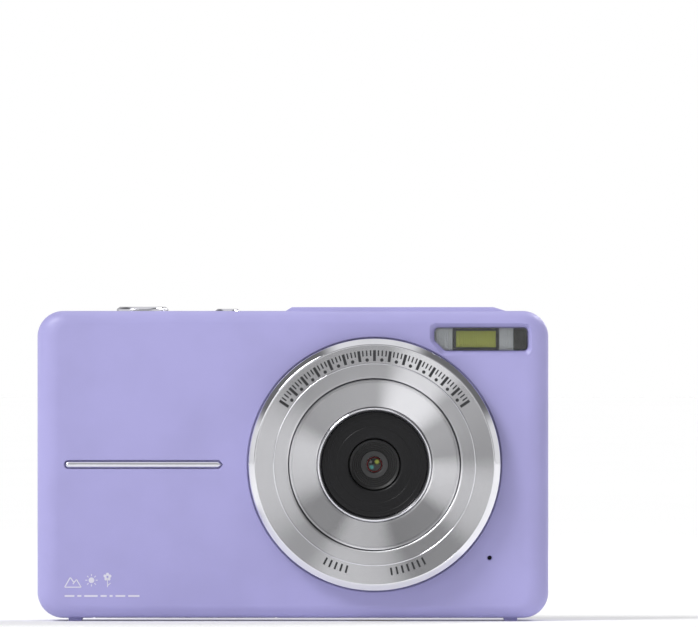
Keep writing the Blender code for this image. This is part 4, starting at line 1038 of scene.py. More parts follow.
@dataclass
class RearCasing(Casing):
    """The back casing: a shallow cup with a chamfered edge and the raised surround of the screen."""

    chamfer: float = 1.6 * MM
    soft: float = 0.22 * MM
    lip: float = 0.2 * MM
    gap: float = 0.2 * MM

    @property
    def back(self) -> float:
        """The depth of the back face, under the surround."""
        return self.rear.high.y - CREST

    @property
    def rim(self) -> float:
        """The depth of its front rim, at the seam."""
        return self.front.high.y + 0.3 * MM

    def build(self) -> Piece:
        """Models the casing."""
        rise = self.back - self.rim
        steps = [
            (0, rise - self.chamfer - self.soft / 2),
            (self.soft * 0.3, self.soft),
            (self.chamfer - self.soft * 1.3, self.chamfer - self.soft * 0.8),
            (self.soft, self.soft * 0.3),
        ]
        shell = self.cup("rear_casing", steps, Facing.BACK, self.rim)
        slope_start = self.back - self.chamfer
        unite(shell, self.top_step((self.rim, slope_start - 0.55 * MM), False))
        unite(shell, *self.feet((self.rim + 0.2 * MM, slope_start)), self.surround(), self.seam_lip())
        cut(shell, self.screen_slope(), *self.screen_holes(), *self.key_holes())
        return dress(shell, self.finish, "rear_shell")

    def seam_lip(self) -> Piece:
        """The lip that enters the front casing and closes the seam."""
        inset = WALL + 0.12 * MM
        size = self.width - 2 * inset, self.height - 2 * inset
        low = self.rear.low.y + 3.0 * MM
        origin = Vector((0, low, self.middle))
        lip = plate("lip", size, self.corner - inset, [(0, self.rim + 0.6 * MM - low)], Facing.BACK, origin, 8)
        inner = size[0] - 1.2 * MM, size[1] - 1.2 * MM
        start = Vector((0, low - 1.0 * MM, self.middle))
        return cut(lip, plate("lip_hollow", inner, 2.6 * MM, [(0, 4.0 * MM)], Facing.BACK, start, 8))

    def surround(self) -> Piece:
        """The raised surround of the screen, with a wide slope towards the buttons."""
        nav = Box.of("nav_ring").centre
        edge = self.chamfer + 0.2 * MM
        x = nav.x + 12.8 * MM, self.rear.high.x - edge
        z = self.foot_height + 2.6 * MM, self.high - edge
        crest_x = x[0] + 4.4 * MM, x[1] - 1.6 * MM
        crest_z = z[0] + 1.6 * MM, z[1] - 2.7 * MM
        foot_size = x[1] - x[0], z[1] - z[0]
        crest_size = crest_x[1] - crest_x[0], crest_z[1] - crest_z[0]
        shift = (x[0] + x[1] - crest_x[0] - crest_x[1]) / 2, (crest_z[0] + crest_z[1] - z[0] - z[1]) / 2
        origin = Vector(((x[0] + x[1]) / 2, self.back - 0.3 * MM, (z[0] + z[1]) / 2))
        sunk = 0.3 * MM
        block_up = plate("surround", foot_size, 3.6 * MM, [(0, sunk)], Facing.UP, Vector((0, 0, 0)), 12)
        activate(block_up)
        mode("EDIT")
        choose("FACE", lambda at: at.z > sunk - CLOSE)
        before, level = 0.0, sunk
        for share, height in ((0.06, 0.12), (0.9, 0.9), (0.965, 0.975), (1.0, 1.0)):
            rise = sunk + height * CREST - level
            level += rise
            moved = [(share - before) * part for part in shift]
            bpy.ops.mesh.extrude_region_move(TRANSFORM_OT_translate={"value": (*moved, rise)})
            centre = [share * part for part in shift]
            now = [foot + (crest - foot) * share for foot, crest in zip(foot_size, crest_size)]
            was = [foot + (crest - foot) * before for foot, crest in zip(foot_size, crest_size)]
            factors = [new / old for new, old in zip(now, was)]
            bpy.ops.transform.resize(value=(*factors, 1), center_override=(*centre, level))
            before = share
        mode("OBJECT")
        return place(block_up, Facing.BACK, origin)

    def screen_slope(self) -> Piece:
        """A cutter: the slope from the surround's crest down to the glass."""
        glass = Box.of("screen_window")
        size = glass.size.x + 0.5 * MM, glass.size.z + 0.5 * MM
        sunk = self.rear.high.y - glass.high.y
        origin = Vector((glass.centre.x - 0.1 * MM, glass.high.y, glass.centre.z))
        cutter = plate("screen_slope", size, 0.9 * MM, [(0, 0.001 * MM)], Facing.UP, Vector((0, 0, 0)), 6)
        activate(cutter)
        mode("EDIT")
        choose("FACE", lambda at: at.z > 0)
        level = 0.001 * MM
        for rise, wide, tall in ((sunk * 0.85, 1.7, 0.75), (sunk * 0.15, 0.25, 0.25), (CUT_PAST, 0.5, 0.5)):
            level += rise
            bpy.ops.mesh.extrude_region_move(TRANSFORM_OT_translate={"value": (0, 0, rise)})
            wider = size[0] + 2 * wide * MM, size[1] + 2 * tall * MM
            factors = wider[0] / size[0], wider[1] / size[1], 1
            bpy.ops.transform.resize(value=factors, center_override=(0, 0, level))
            size = wider
        mode("OBJECT")
        return place(cutter, Facing.BACK, origin)

    def screen_holes(self) -> list[Piece]:
        """Cutters: the pocket that the glass lies in, and the opening in its floor."""
        glass = Box.of("screen_window")
        holes = []
        for name, wider, under, rise in (("screen_pocket", 0.24, 0.3, 2.5), ("screen_opening", -3.0, 3.0, 3.5)):
            size = glass.size.x + wider * MM, glass.size.z + wider * MM
            origin = glass.at(y=glass.low.y - under * MM)
            holes.append(plate(name, size, 0.8 * MM, [(0, rise * MM)], Facing.BACK, origin, 6))
        return holes

    def key_holes(self) -> list[Piece]:
        """Cutters: the holes of the ring, the round keys and the status light."""
        holes = []
        for name, radius, sides in (("nav_ring", 9.2 * MM, 112), *((key, 3.3 * MM, 56) for key in ROUND_KEYS)):
            mouth = Box.of(name).at(y=self.back)
            reach = radius + self.gap
            profile = (
                (0, -2.4 * MM), (reach, -2.4 * MM), (reach, -self.lip), (reach + self.lip * 0.4, -self.lip * 0.3),
                (reach + self.lip * 1.4, 0), (reach + self.lip * 1.4 + CUT_PAST, CUT_PAST), (0, CUT_PAST),
            )
            holes.append(turned(f"{name}_hole", profile, Facing.BACK, mouth, sides))
        light = Box.of("status_light_window")
        size = light.size.x + 0.2 * MM, light.size.z + 0.2 * MM
        origin = light.at(y=self.back - 2.4 * MM)
        steps = [(0, 2.3 * MM), (-0.12 * MM, 0.1 * MM), (-CUT_PAST, CUT_PAST)]
        holes.append(plate("light_hole", size, size[1] * 0.49, steps, Facing.BACK, origin, 10))
        return holes


# ---- lens


def rod(name: str, start: Sequence[float], end: Sequence[float], width: float, height: Pair,
        bevel: float = 0.02 * MM) -> Piece:
    """A straight raised stroke between two points of a face.

    Args:
        name: The piece's name.
        start: Where its centre line starts.
        end: Where it ends.
        width: Its width.
        height: Its foot and top, above the face.
        bevel: The width of its bevels.

    Returns:
        The piece, still about the face's own origin.
    """
    start, end = Vector(start), Vector(end)
    run = end - start
    half = run.length / 2
    piece = block(name, (-half, -width / 2, height[0]), (half, width / 2, height[1]), bevel, 1)
    piece.rotation_euler = (0, 0, math.atan2(run.y, run.x))
    piece.location = (*((start + end) / 2), 0)
    settle()
    return piece


def stroke(start: Pair, end: Pair, width: float, rise: Pair, bevel: float = 0.008 * MM) -> Piece:
    """A raised stroke between two points in millimetres."""
    return rod("stroke", Vector(start) * MM, Vector(end) * MM, width * MM, rise, bevel)


def loop(x: float, y: float, outer: float, inner: float, rise: Pair, sides: int = 32) -> Piece:
    """A raised ring, or a disc where the inner radius is 0, in millimetres."""
    outer, inner, soft = outer * MM, inner * MM, 0.012 * MM
    edge = [(outer, rise[0]), (outer, rise[1] - soft), (outer - soft, rise[1])]
    if inner:
        profile = [(inner, rise[0]), *edge, (inner + soft, rise[1]), (inner, rise[1] - soft)]
        return turned("loop", profile, Facing.UP, Vector((x * MM, y * MM, 0)), 40, True)
    profile = [(0, rise[0]), *edge, (0, rise[1])]
    return turned("disc", profile, Facing.UP, Vector((x * MM, y * MM, 0)), sides)


def copies(piece: Piece, places: Iterable[Sequence[float]]) -> list[Piece]:
    """Copies a piece, each copy with its own mesh, and drops the first.

    Args:
        piece: The piece that repeats.
        places: For each copy, how far it moves along x, y and z, and how far it turns about +Z.

    Returns:
        The copies.
    """
    made = []
    for x, y, z, turn in places:
        activate(piece)
        bpy.ops.object.duplicate(linked=False)
        copy = bpy.context.object
        copy.rotation_euler = (0, 0, turn)
        copy.location = (x, y, z)
        settle()
        made.append(copy)
    bpy.data.objects.remove(piece)
    return made


@dataclass(frozen=True)
class CoatedGlassPaintedGlints(Finish):
    """The small lens: near-black glass with painted reflections of its coatings: a yellow-green glint at the upper
    right, a teal glint at the lower left and a red rim.

    Args:
        centre: The middle of the glass.
        radius: Its radius.
    """

    centre: Vector
    radius: float

    def paint(self, nodes: Nodes) -> None:
        """Lays the finish on a node tree."""
        x, _, z = nodes.axis()
        across = nodes.maths("DIVIDE", nodes.maths("SUBTRACT", x, self.centre.x), self.radius)
        up = nodes.maths("DIVIDE", nodes.maths("SUBTRACT", z, self.centre.z), self.radius)
        colour = (0.008, 0.009, 0.010)
        # Painted reflections: coloured glints of the coatings at fixed spots, laid into the base colour.
        for tint, at, reach in (
            ((0.30, 0.34, 0.06), (0.34, 0.36), 0.42),
            ((0.03, 0.22, 0.20), (-0.36, -0.34), 0.40),
        ):
            far = nodes.distance(nodes.maths("SUBTRACT", across, at[0]), nodes.maths("SUBTRACT", up, at[1]))
            colour = nodes.mix(nodes.spread(far, reach * 0.25, reach, 1.0, 0.0), colour, tint)
        # Painted reflection: a red rim of the coating round the glass's edge.
        colour = nodes.mix(nodes.spread(nodes.distance(across, up), 0.78, 0.98), colour, (0.16, 0.03, 0.03))
        haze = nodes.noise(900, 1)
        nodes.set(Base_Color=colour, Roughness=nodes.spread(haze, 0.3, 0.7, 0.03, 0.08))
        nodes.set(Specular_IOR_Level=0.3, Coat_Weight=0.4, Coat_Roughness=0.02)


@dataclass
class Lens:
    """The turned silver rings, the bright trim, the black plate, the stepped barrel and the small glass."""

    sides: int = 176
    axis: Vector = field(init=False)

    def __post_init__(self) -> None:
        """Finds the lens axis where it meets the front face."""
        ring = Box.of("lens_outer_ring").centre
        self.axis = Vector((ring.x, Box.of("front_shell").low.y, ring.z))

    def ring(self, name: str, points: Profile, finish: Material, slot: str, node: str | None,
             closed: bool = True) -> Piece:
        """One turned piece on the lens axis, from points in millimetres."""
        piece = turned(name, in_mm(points), Facing.FRONT, self.axis, self.sides, closed)
        return dress(piece, finish, node)

    def build(self) -> None:
        """Builds every piece of the lens."""
        # The two silver rings get painted highlight fans: base colour lighter at the listed angles round the lens
        # axis, painted darker between.
        outer = TurnedWithPaintedFans("turned_outer", self.axis, (0.58, 0.58, 0.60), 0.30, pitch=0.11 * MM,
                       painted_fan_contrast=0.30, painted_highlight_fans=((180, 46), (340, 26), (262, 30), (62, 22))).make()
        inner = TurnedWithPaintedFans("turned_inner", self.axis, (0.60, 0.60, 0.62), 0.28, pitch=0.10 * MM,
                       painted_fan_contrast=0.34, painted_highlight_fans=((180, 34), (60, 30), (345, 24), (262, 26))).make()
        chrome = Metal("lens_chrome", (0.86, 0.86, 0.90), 0.06).make()
        plate_black = TurnedWithPaintedFans("cover_black", self.axis, (0.011, 0.011, 0.012), 0.36, pitch=0.42 * MM,
                             painted_fan_contrast=0.0, depth=0.004 * MM, metallic=0.0, anisotropy=0.3).make()
        barrel_black = Moulded("barrel_black", linear(13, 13, 14), 0.5, mottle=0.1).make()
        disc_grey = Moulded("disc_grey", linear(60, 60, 61), 0.5, mottle=0.1).make()
        self.ring("outer_ring", (
            (16.65, -0.7), (24.3, -0.7), (24.3, 2.6), (23.3, 3.6), (23.15, 3.93), (19.66, 3.77), (19.6, 3.71),
            (19.44, 3.70), (19.38, 3.755), (17.2, 3.63), (16.95, 3.58), (16.74, 3.44), (16.65, 3.22),
        ), outer, "turned_silver", "lens_outer_ring")
        self.ring("outer_bevel", (
            (23.1, 3.3), (24.1, 2.3), (24.4, 2.3), (24.4, 2.78), (24.37, 2.9), (24.3, 3.01), (23.5, 3.84),
            (23.4, 3.92), (23.28, 3.965), (23.15, 3.97), (23.1, 3.93),
        ), chrome, "bright_chrome", None)
        self.ring("face_line", (
            (19.42, 3.68), (19.62, 3.68), (19.61, 3.785), (19.57, 3.81), (19.5, 3.82), (19.44, 3.79), (19.42, 3.76),
        ), chrome, "bright_chrome", None)
        self.ring("inner_ring", (
            (11.12, -0.7), (16.57, -0.7), (16.57, 3.14), (16.53, 3.32), (16.42, 3.43), (16.24, 3.46), (16.1, 3.44),
            (16.05, 3.37), (15.94, 3.355), (15.88, 3.41), (11.65, 2.91), (11.4, 2.86), (11.2, 2.78), (11.12, 2.62),
        ), inner, "turned_silver", "lens_inner_ring")
        self.ring("trim_ring", (
            (10.3, -0.7), (11.08, -0.7), (11.08, 2.86), (11.05, 3.02), (10.97, 3.15), (10.86, 3.22), (10.75, 3.22),
            (10.66, 3.15), (10.36, 2.62), (10.3, 2.45),
        ), chrome, "bright_chrome", "lens_trim_ring")
        self.ring("cover_plate", (
            (9.3, -0.7), (10.24, -0.7), (10.24, 1.96), (10.18, 2.1), (10.06, 2.18), (9.92, 2.2), (9.3, 2.2),
            (9.24, 2.16), (9.12, 2.16), (9.06, 2.2), (7.5, 2.2), (7.45, 2.17), (7.37, 2.17), (7.32, 2.2),
            (5.6, 2.2), (5.35, 2.17), (5.18, 2.07), (5.08, 1.9), (5.05, 1.7), (5.05, 1.0), (9.3, 1.0),
        ), plate_black, "black_plastic", "lens_cover_plate")
        self.ring("barrel", (
            (1.62, -0.66), (2.7, -0.66), (2.78, -0.5), (3.1, -0.5), (3.16, -0.05), (3.5, -0.05), (3.56, 0.4),
            (3.9, 0.4), (3.96, 0.85), (4.3, 0.85), (4.36, 1.3), (4.62, 1.45), (4.78, 1.56), (4.93, 1.46),
            (4.93, -1.2), (3.58, -1.5), (3.58, -5.2), (2.22, -5.2), (2.22, -2.6), (1.62, -2.6),
        ), barrel_black, "black_plastic", "lens_barrel")
        self.ring("barrel_disc", (
            (1.64, -0.74), (2.68, -0.74), (2.68, -0.62), (2.6, -0.57), (1.86, -0.57), (1.72, -0.61), (1.64, -0.68),
        ), disc_grey, "black_plastic", None)
        self.ring("small_lens", (
            (0, -2.2), (1.5, -2.2), (1.5, -0.86), (1.44, -0.76), (1.3, -0.66), (1.1, -0.57), (0.85, -0.48),
            (0.6, -0.42), (0.3, -0.37), (0, -0.35),
        ), CoatedGlassPaintedGlints("coated_glass", self.axis, 1.5 * MM).make(), "lens_glass", "front_lens", False)
        self.scale()

    def height_at(self, radius: float) -> float:
        """The height of the outer ring's face at a radius."""
        return 3.63 * MM + (radius - 17.2 * MM) * RING_DISH

    def tick(self, name: str, radius: float, length: float, width: float) -> Piece:
        """A printed tick at the top of the ring, lying on its slightly dished face."""
        rise = 0.022 * MM
        piece = block(name, (-width / 2, -length / 2, -0.05 * MM), (width / 2, length / 2, rise), 0.006 * MM, 1)
        piece.rotation_euler = (math.atan(RING_DISH), 0, 0)
        piece.location = (0, radius, self.height_at(radius))
        settle()
        return piece

    def dot(self, name: str, radius: float, reach: float) -> Piece:
        """A printed dot at the top of the ring."""
        deselect()
        bpy.ops.mesh.primitive_cylinder_add(vertices=20, radius=reach, depth=0.08 * MM, location=(0, 0, 0))
        piece = named(name)
        mode("EDIT")
        choose("FACE", lambda at: at.z > 0.03 * MM)
        bpy.ops.mesh.bevel(offset=0.008 * MM, segments=1, affect="EDGES")
        mode("OBJECT")
        piece.rotation_euler = (math.atan(RING_DISH), 0, 0)
        piece.location = (0, radius, self.height_at(radius) - 0.02 * MM)
        settle()
        return piece

    def scale(self) -> None:
        """The plain scale of ticks and dots printed round the outer ring, in place of words."""
        ink = Moulded("ring_ink", linear(38, 38, 42), 0.5, mottle=0.12)
        made = []
        for mark, turns in (
            (self.tick("long_tick", 21.1 * MM, 2.1 * MM, 0.55 * MM), range(-56, 57, 8)),
            (self.tick("short_tick", 21.6 * MM, 1.1 * MM, 0.27 * MM), [a for a in range(-56, 57, 2) if a % 8]),
            (self.tick("low_tick", 20.9 * MM, 1.5 * MM, 0.38 * MM), [*range(153, 166, 3), *range(189, 208, 3)]),
            (self.dot("dot", 20.3 * MM, 0.34 * MM), range(-52, 53, 8)),
        ):
            made += copies(mark, [(0, 0, 0, math.radians(turn)) for turn in turns])
        marks = place(join("ring_scale", made), Facing.FRONT, self.axis)
        dress(marks, ink.make())


# ---- front and top details


@dataclass
class FrontDetails:
    """The bright bar, the flash behind its ribbed window, the small print and the two top buttons."""

    print_proud: float = 0.03 * MM
    sun: Pair = (5.2, 1.35)
    rib_pitch: float = 0.36 * MM
    chrome: Material = field(init=False)

    def __post_init__(self) -> None:
        """Makes the plating that the bar and the buttons share."""
        self.chrome = Metal("plated_chrome", (0.80, 0.80, 0.86), 0.08, stretch=(0.2, 1, 1)).make()

    def build(self) -> None:
        """Builds every detail."""
        self.bar()
        self.flash_window()
        self.flash_inside()
        self.small_print()
        for node, radius in TOP_BUTTONS.items():
            self.top_button(node, radius)

    def bar(self) -> None:
        """The half-round bar, its left end round and its right end pointed."""
        box = Box.of("accent_bar")
        size = box.size.x, box.size.z
        steps = [(0, 0.3 * MM), *quarter(size[1] * 0.46, 0.63 * MM, 7)]
        origin = box.at(y=box.high.y)
        bar = plate("bright_bar", size, size[1] * 0.49, steps, Facing.FRONT, origin, 10, pointed=True)
        dress(bar, self.chrome, "accent_bar")

    def flash_window(self) -> None:
        """The clear window, ribbed behind, with a fine line along its top and bottom."""
        box = Box.of("flash_window")
        size = box.size.x, box.size.z
        origin = box.at(y=box.high.y)
        steps = [(0, box.size.y - 0.12 * MM), (0.12 * MM, 0.12 * MM)]
        pane = plate("window", size, 0.85 * MM, steps, Facing.FRONT, origin, 6, chamfer=1.9 * MM)
        groove = block("line_cut", (box.low.x + 2.2 * MM, box.low.y - CUT_PAST, 0),
                       (box.high.x - 0.9 * MM, box.low.y + 0.06 * MM, 0.1 * MM))
        lines = copies(groove, [(0, 0, z, 0) for z in (box.low.z + 0.5 * MM, box.high.z - 0.6 * MM)])
        cut(pane, *lines)
        dress(pane, Clear("window_clear", (0.90, 0.91, 0.90), 0.03, ior=1.4, coat=0.4),
              "flash_window")

    def ribs(self, name: str, low: Vector, high: Vector, pitch: float) -> Piece:
        """A panel facing front, covered with fine upright ribs.

        Args:
            name: The panel's name.
            low: Its lowest corner.
            high: Its highest corner.
            pitch: The spacing of its ribs.

        Returns:
            The panel.
        """
        panel = block(f"{name}_back", (low.x, low.y + 0.12 * MM, low.z), high, 0.03 * MM, 1)
        count = int((high.x - low.x) / pitch)
        first = low.x + ((high.x - low.x) - (count - 1) * pitch) / 2
        rib = block(f"{name}_rib", (-pitch * 0.36, low.y, low.z + 0.06 * MM),
                    (pitch * 0.36, low.y + 0.2 * MM, high.z - 0.06 * MM), pitch * 0.22, 2)
        made = copies(rib, [(first + i * pitch, 0, 0, 0) for i in range(count)])
        return join(name, [panel, *made])

    def flash_inside(self) -> None:
        """The lit yellow face between dark cheeks, the grey ribbed panels and the black end."""
        window, trough = Box.of("flash_window"), Box.of("flash_reflector")
        front = trough.low.y
        low_z, high_z = window.low.z + 0.15 * MM, window.high.z - 0.15 * MM
        left, right = trough.low.x + 0.55 * MM, trough.high.x - 0.55 * MM
        case = block("flash_trough", trough.low, trough.high, 0.12 * MM)
        pocket = block("trough_pocket", (left, front - CUT_PAST, trough.low.z + 0.4 * MM),
                       (right, trough.high.y - 0.5 * MM, trough.high.z - 0.4 * MM), 0.2 * MM)
        cut(case, pocket)
        dress(case, Moulded("trough_dark", linear(58, 58, 60), 0.35, mottle=0.15), "flash_reflector")
        lit = self.ribs("flash_lit_face", Vector((left + 0.03 * MM, front + 0.25 * MM, trough.low.z + 0.45 * MM)),
                        Vector((right - 0.03 * MM, front + 0.6 * MM, trough.high.z - 0.45 * MM)), self.rib_pitch)
        dress(lit, Moulded("lit_olive", linear(196, 202, 84), 0.35, mottle=0.12, coat=0.3))
        grey = Moulded("ribbed_grey", linear(214, 217, 222), 0.3, mottle=0.06, coat=0.4).make()
        edge = window.high.x - 2.7 * MM
        spans = ((window.low.x + 0.2 * MM, trough.low.x - 0.06 * MM), (trough.high.x + 0.06 * MM, edge))
        for side, (start, end) in zip(("left", "right"), spans):
            panel = self.ribs(f"flash_panel_{side}", Vector((start, front, low_z)),
                              Vector((end, front + 0.5 * MM, high_z)), self.rib_pitch)
            dress(panel, grey)
        self.black_end(edge, front, low_z, high_z)

    def black_end(self, edge: float, front: float, low_z: float, high_z: float) -> None:
        """The black end of the window, with fine arcs sunk in it."""
        window = Box.of("flash_window")
        end = block("flash_black_end", (edge + 0.05 * MM, front, low_z),
                    (window.high.x - 0.15 * MM, front + 0.5 * MM, high_z), 0.04 * MM, 1)
        middle = Vector((window.high.x - 1.3 * MM, front, (low_z + high_z) / 2))
        arcs = []
        for radius in (0.45, 0.75, 1.05):
            outer, inner = radius * MM, (radius - 0.09) * MM
            arcs.append(turned("arc", [(inner, -0.1 * MM), (outer, -0.1 * MM), (outer, 0.2 * MM), (inner, 0.2 * MM)],
                               Facing.FRONT, middle, 40, True))
        cut(end, *arcs)
        dress(end, Moulded("end_black", linear(22, 22, 24), 0.25, mottle=0.1, coat=0.6))

    def small_print(self) -> None:
        """Small pale pictures and dashes low on the left, in place of words: a hill, a sun and a flower."""
        rise = (-0.05 * MM, self.print_proud)
        hill = (((0, 0), (3.2, 0)), ((0, 0), (1.1, 1.9)), ((1.1, 1.9), (1.8, 0.9)), ((1.6, 0.6), (2.3, 1.5)),
                ((2.3, 1.5), (3.2, 0)))
        shapes = [stroke(*ends, 0.2, rise) for ends in hill]
        shapes.append(loop(*self.sun, 0.55, 0, rise, 24))
        for i in range(8):
            out = Vector((math.cos(i * FULL_TURN / 8), math.sin(i * FULL_TURN / 8)))
            shapes.append(stroke(Vector(self.sun) + 0.8 * out, Vector(self.sun) + 1.2 * out, 0.16, rise))
        for ends in (((8.3, 0), (8.3, 1.7)), ((8.3, 0.3), (8.9, 0.8))):
            shapes.append(stroke(*ends, 0.16, rise))
        for i in range(5):
            turn = i * FULL_TURN / 5 + RIGHT_ANGLE
            shapes.append(loop(8.3 + 0.5 * math.cos(turn), 2.0 + 0.5 * math.sin(turn), 0.3, 0, rise, 24))
        start = 0.0
        for length in (1.9, 0.8, 2.6, 1.2, 0.6, 1.9, 2.2):
            shapes.append(stroke((start, -1.7), (start + length, -1.7), 0.34, rise))
            start += length + 0.55
        front = Box.of("front_shell")
        origin = Vector((front.low.x + 5.3 * MM, front.low.y, 6.6 * MM))
        marks = place(join("small_print", shapes), Facing.FRONT, origin)
        dress(marks, Moulded("print_pale", linear(222, 220, 232), 0.5, mottle=0.05))

    def top_button(self, node: str, radius: float) -> None:
        """A plated cap with a chamfered edge and a slightly dished top, on its hidden stem."""
        box = Box.of(node)
        flange = box.size.x / 2
        under = Box.of("front_shell").high.z - STEP_RISE - WALL - 0.2 * MM
        top, low = box.high.z, box.low.z
        deck = under - 0.45 * MM
        stem = radius * 0.4
        rise = (
            (0, low), (stem, low), (stem, deck), (flange, deck), (flange, under), (radius, under),
            (radius, top - 0.5 * MM), (radius - 0.05 * MM, top - 0.4 * MM), (radius - 0.5 * MM, top - 0.05 * MM),
            (radius - 0.62 * MM, top), (radius - 0.78 * MM, top), (radius - 0.95 * MM, top - 0.05 * MM),
            (radius * 0.4, top - 0.13 * MM), (0, top - 0.15 * MM),
        )
        cap = turned(f"{node}_cap", rise, Facing.UP, box.at(z=0))
        dress(cap, self.chrome, node, node)


# ---- keys at the back


class Sign(Enum):
    """The plain sign raised on a round key."""

    MINUS = "minus"
    PLUS = "plus"
    DOT = "dot"
    LIST = "list"
    TICK = "tick"


@dataclass(frozen=True)
class Key:
    """A round key at the back.

    Args:
        node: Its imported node.
        sign: The sign on it.
        ringed: Whether a ring goes round the sign.
    """

    node: str
    sign: Sign
    ringed: bool = False


@dataclass
class Keys:
    """The four domed keys, the four-way ring and its middle key, each with a plain raised sign."""

    sign_rise: float = 0.045 * MM
    key_sign_size: float = 1.3
    ring_sign_size: float = 1.22
    keys: tuple[Key, ...] = (
        Key("zoom_wide_button", Sign.MINUS),
        Key("zoom_tele_button", Sign.PLUS),
        Key("mode_button", Sign.DOT, True),
        Key("menu_button", Sign.LIST, True),
    )
    back: float = field(init=False)
    ink: Material = field(init=False)

    def __post_init__(self) -> None:
        """Finds the back face, and makes the ink of the signs."""
        self.back = Box.of("rear_shell").high.y - CREST
        self.ink = Metal("sign_silver", (0.20, 0.21, 0.22), 0.36, 0.08).make()

    def build(self) -> None:
        """Builds every key."""
        for key in self.keys:
            self.round_key(key)
        self.middle_key()
        self.four_way()

    def silver(self, stem: str, ending: str, node: str, profile: Profile, sides: int, painted_fan_contrast: float = 0.07,
               closed: bool = False) -> Vector:
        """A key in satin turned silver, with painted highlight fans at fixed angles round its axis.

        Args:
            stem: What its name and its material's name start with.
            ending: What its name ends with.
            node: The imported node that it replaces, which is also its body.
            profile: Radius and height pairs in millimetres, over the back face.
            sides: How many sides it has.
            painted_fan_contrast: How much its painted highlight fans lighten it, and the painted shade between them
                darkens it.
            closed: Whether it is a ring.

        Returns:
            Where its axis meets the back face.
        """
        origin = Box.of(node).at(y=self.back)
        # Painted highlight and shade: fans at 50, 225, 150 and 290 degrees round the key's axis.
        finish = TurnedWithPaintedFans(f"{stem}_silver", origin, (0.58, 0.60, 0.62), 0.28, pitch=0.09 * MM, depth=0.001 * MM,
                        painted_fan_contrast=painted_fan_contrast, painted_highlight_fans=((50, 42), (225, 40), (150, 22), (290, 18)))
        piece = turned(f"{stem}_{ending}", in_mm(profile), Facing.BACK, origin, sides, closed)
        dress(piece, finish, node, node)
        return origin

    def round_key(self, key: Key) -> None:
        """A domed key with a bright bevel, and its sign."""
        profile = (
            (0, -3.65), (1.4, -3.65), (1.4, -2.6), (3.7, -2.6), (3.7, -2.05), (3.3, -2.0), (3.3, 0.2), (3.27, 0.3),
            (3.17, 0.42), (2.98, 0.53), (2.85, 0.56), (2.76, 0.55), (2.68, 0.575), (2.2, 0.65), (1.5, 0.71),
            (0.8, 0.745), (0, 0.757),
        )
        origin = self.silver(key.node, "cap", key.node, profile, 72)
        self.sign(f"{key.node}_sign", key, origin, 0.72 * MM)

    def middle_key(self) -> None:
        """The slightly dished middle key, a groove round it, and its sign."""
        low = (Box.of("ok_button").low.y - self.back) / MM
        profile = (
            (0, low), (1.3, low), (1.3, -2.9), (3.5, -2.9), (3.9, -1.6), (3.9, -0.75), (3.55, -0.6), (3.55, 0.0),
            (3.5, 0.14), (3.36, 0.27), (3.2, 0.32), (3.0, 0.33), (2.9, 0.32), (2.83, 0.25), (2.73, 0.25),
            (2.66, 0.32), (1.8, 0.38), (0, 0.41),
        )
        origin = self.silver("middle", "cap", "ok_button", profile, 80)
        self.sign("middle_sign", Key("ok_button", Sign.TICK), origin, 0.37 * MM)

    def sign(self, name: str, key: Key, origin: Vector, height: float) -> None:
        """Raises a key's sign on it.

        Args:
            name: The piece's name.
            key: The key.
            origin: Where the key's axis meets the back face.
            height: The height of the key's top over the back face.
        """
        size = self.key_sign_size
        rise = (height - 0.12 * MM, height + self.sign_rise)
        strokes = {
            Sign.MINUS: (((-0.95, 0), (0.95, 0)),),
            Sign.PLUS: (((-0.95, 0), (0.95, 0)), ((0, -0.95), (0, 0.95))),
            Sign.DOT: (),
            Sign.LIST: (((-0.6, 0.45), (0.6, 0.45)), ((-0.6, 0), (0.6, 0)), ((-0.6, -0.45), (0.6, -0.45))),
            Sign.TICK: (((-1.0, 0.05), (-0.3, -0.7)), ((-0.3, -0.7), (1.1, 0.8))),
        }[key.sign]
        made = [stroke(Vector(start) * size, Vector(end) * size, 0.32, rise, 0.01 * MM) for start, end in strokes]
        if key.sign is Sign.DOT:
            made.append(loop(0, 0, 0.5, 0, rise))
        if key.ringed:
            made.append(loop(0, 0, 1.75, 1.5, (rise[0] - 0.05 * MM, rise[1] - 0.03 * MM)))
        dress(place(join(name, made), Facing.BACK, origin), self.ink, body=key.node)

    def four_way(self) -> None:
        """The conical ring with a bright edge, and its four signs."""
        profile = (
            (4.15, -2.6), (9.72, -2.6), (9.72, -2.05), (9.2, -2.0), (9.2, 0.1), (9.16, 0.24), (9.05, 0.38),
            (8.88, 0.52), (8.7, 0.585), (8.55, 0.59), (8.45, 0.57), (4.72, 0.21), (4.5, 0.19), (4.32, 0.12),
            (4.2, 0.0), (4.15, -0.15),
        )
        # The ring's painted highlight and shade fans are stronger, at 0.4.
        self.ring_signs(self.silver("four_way", "ring", "nav_ring", profile, 144, 0.4, True))

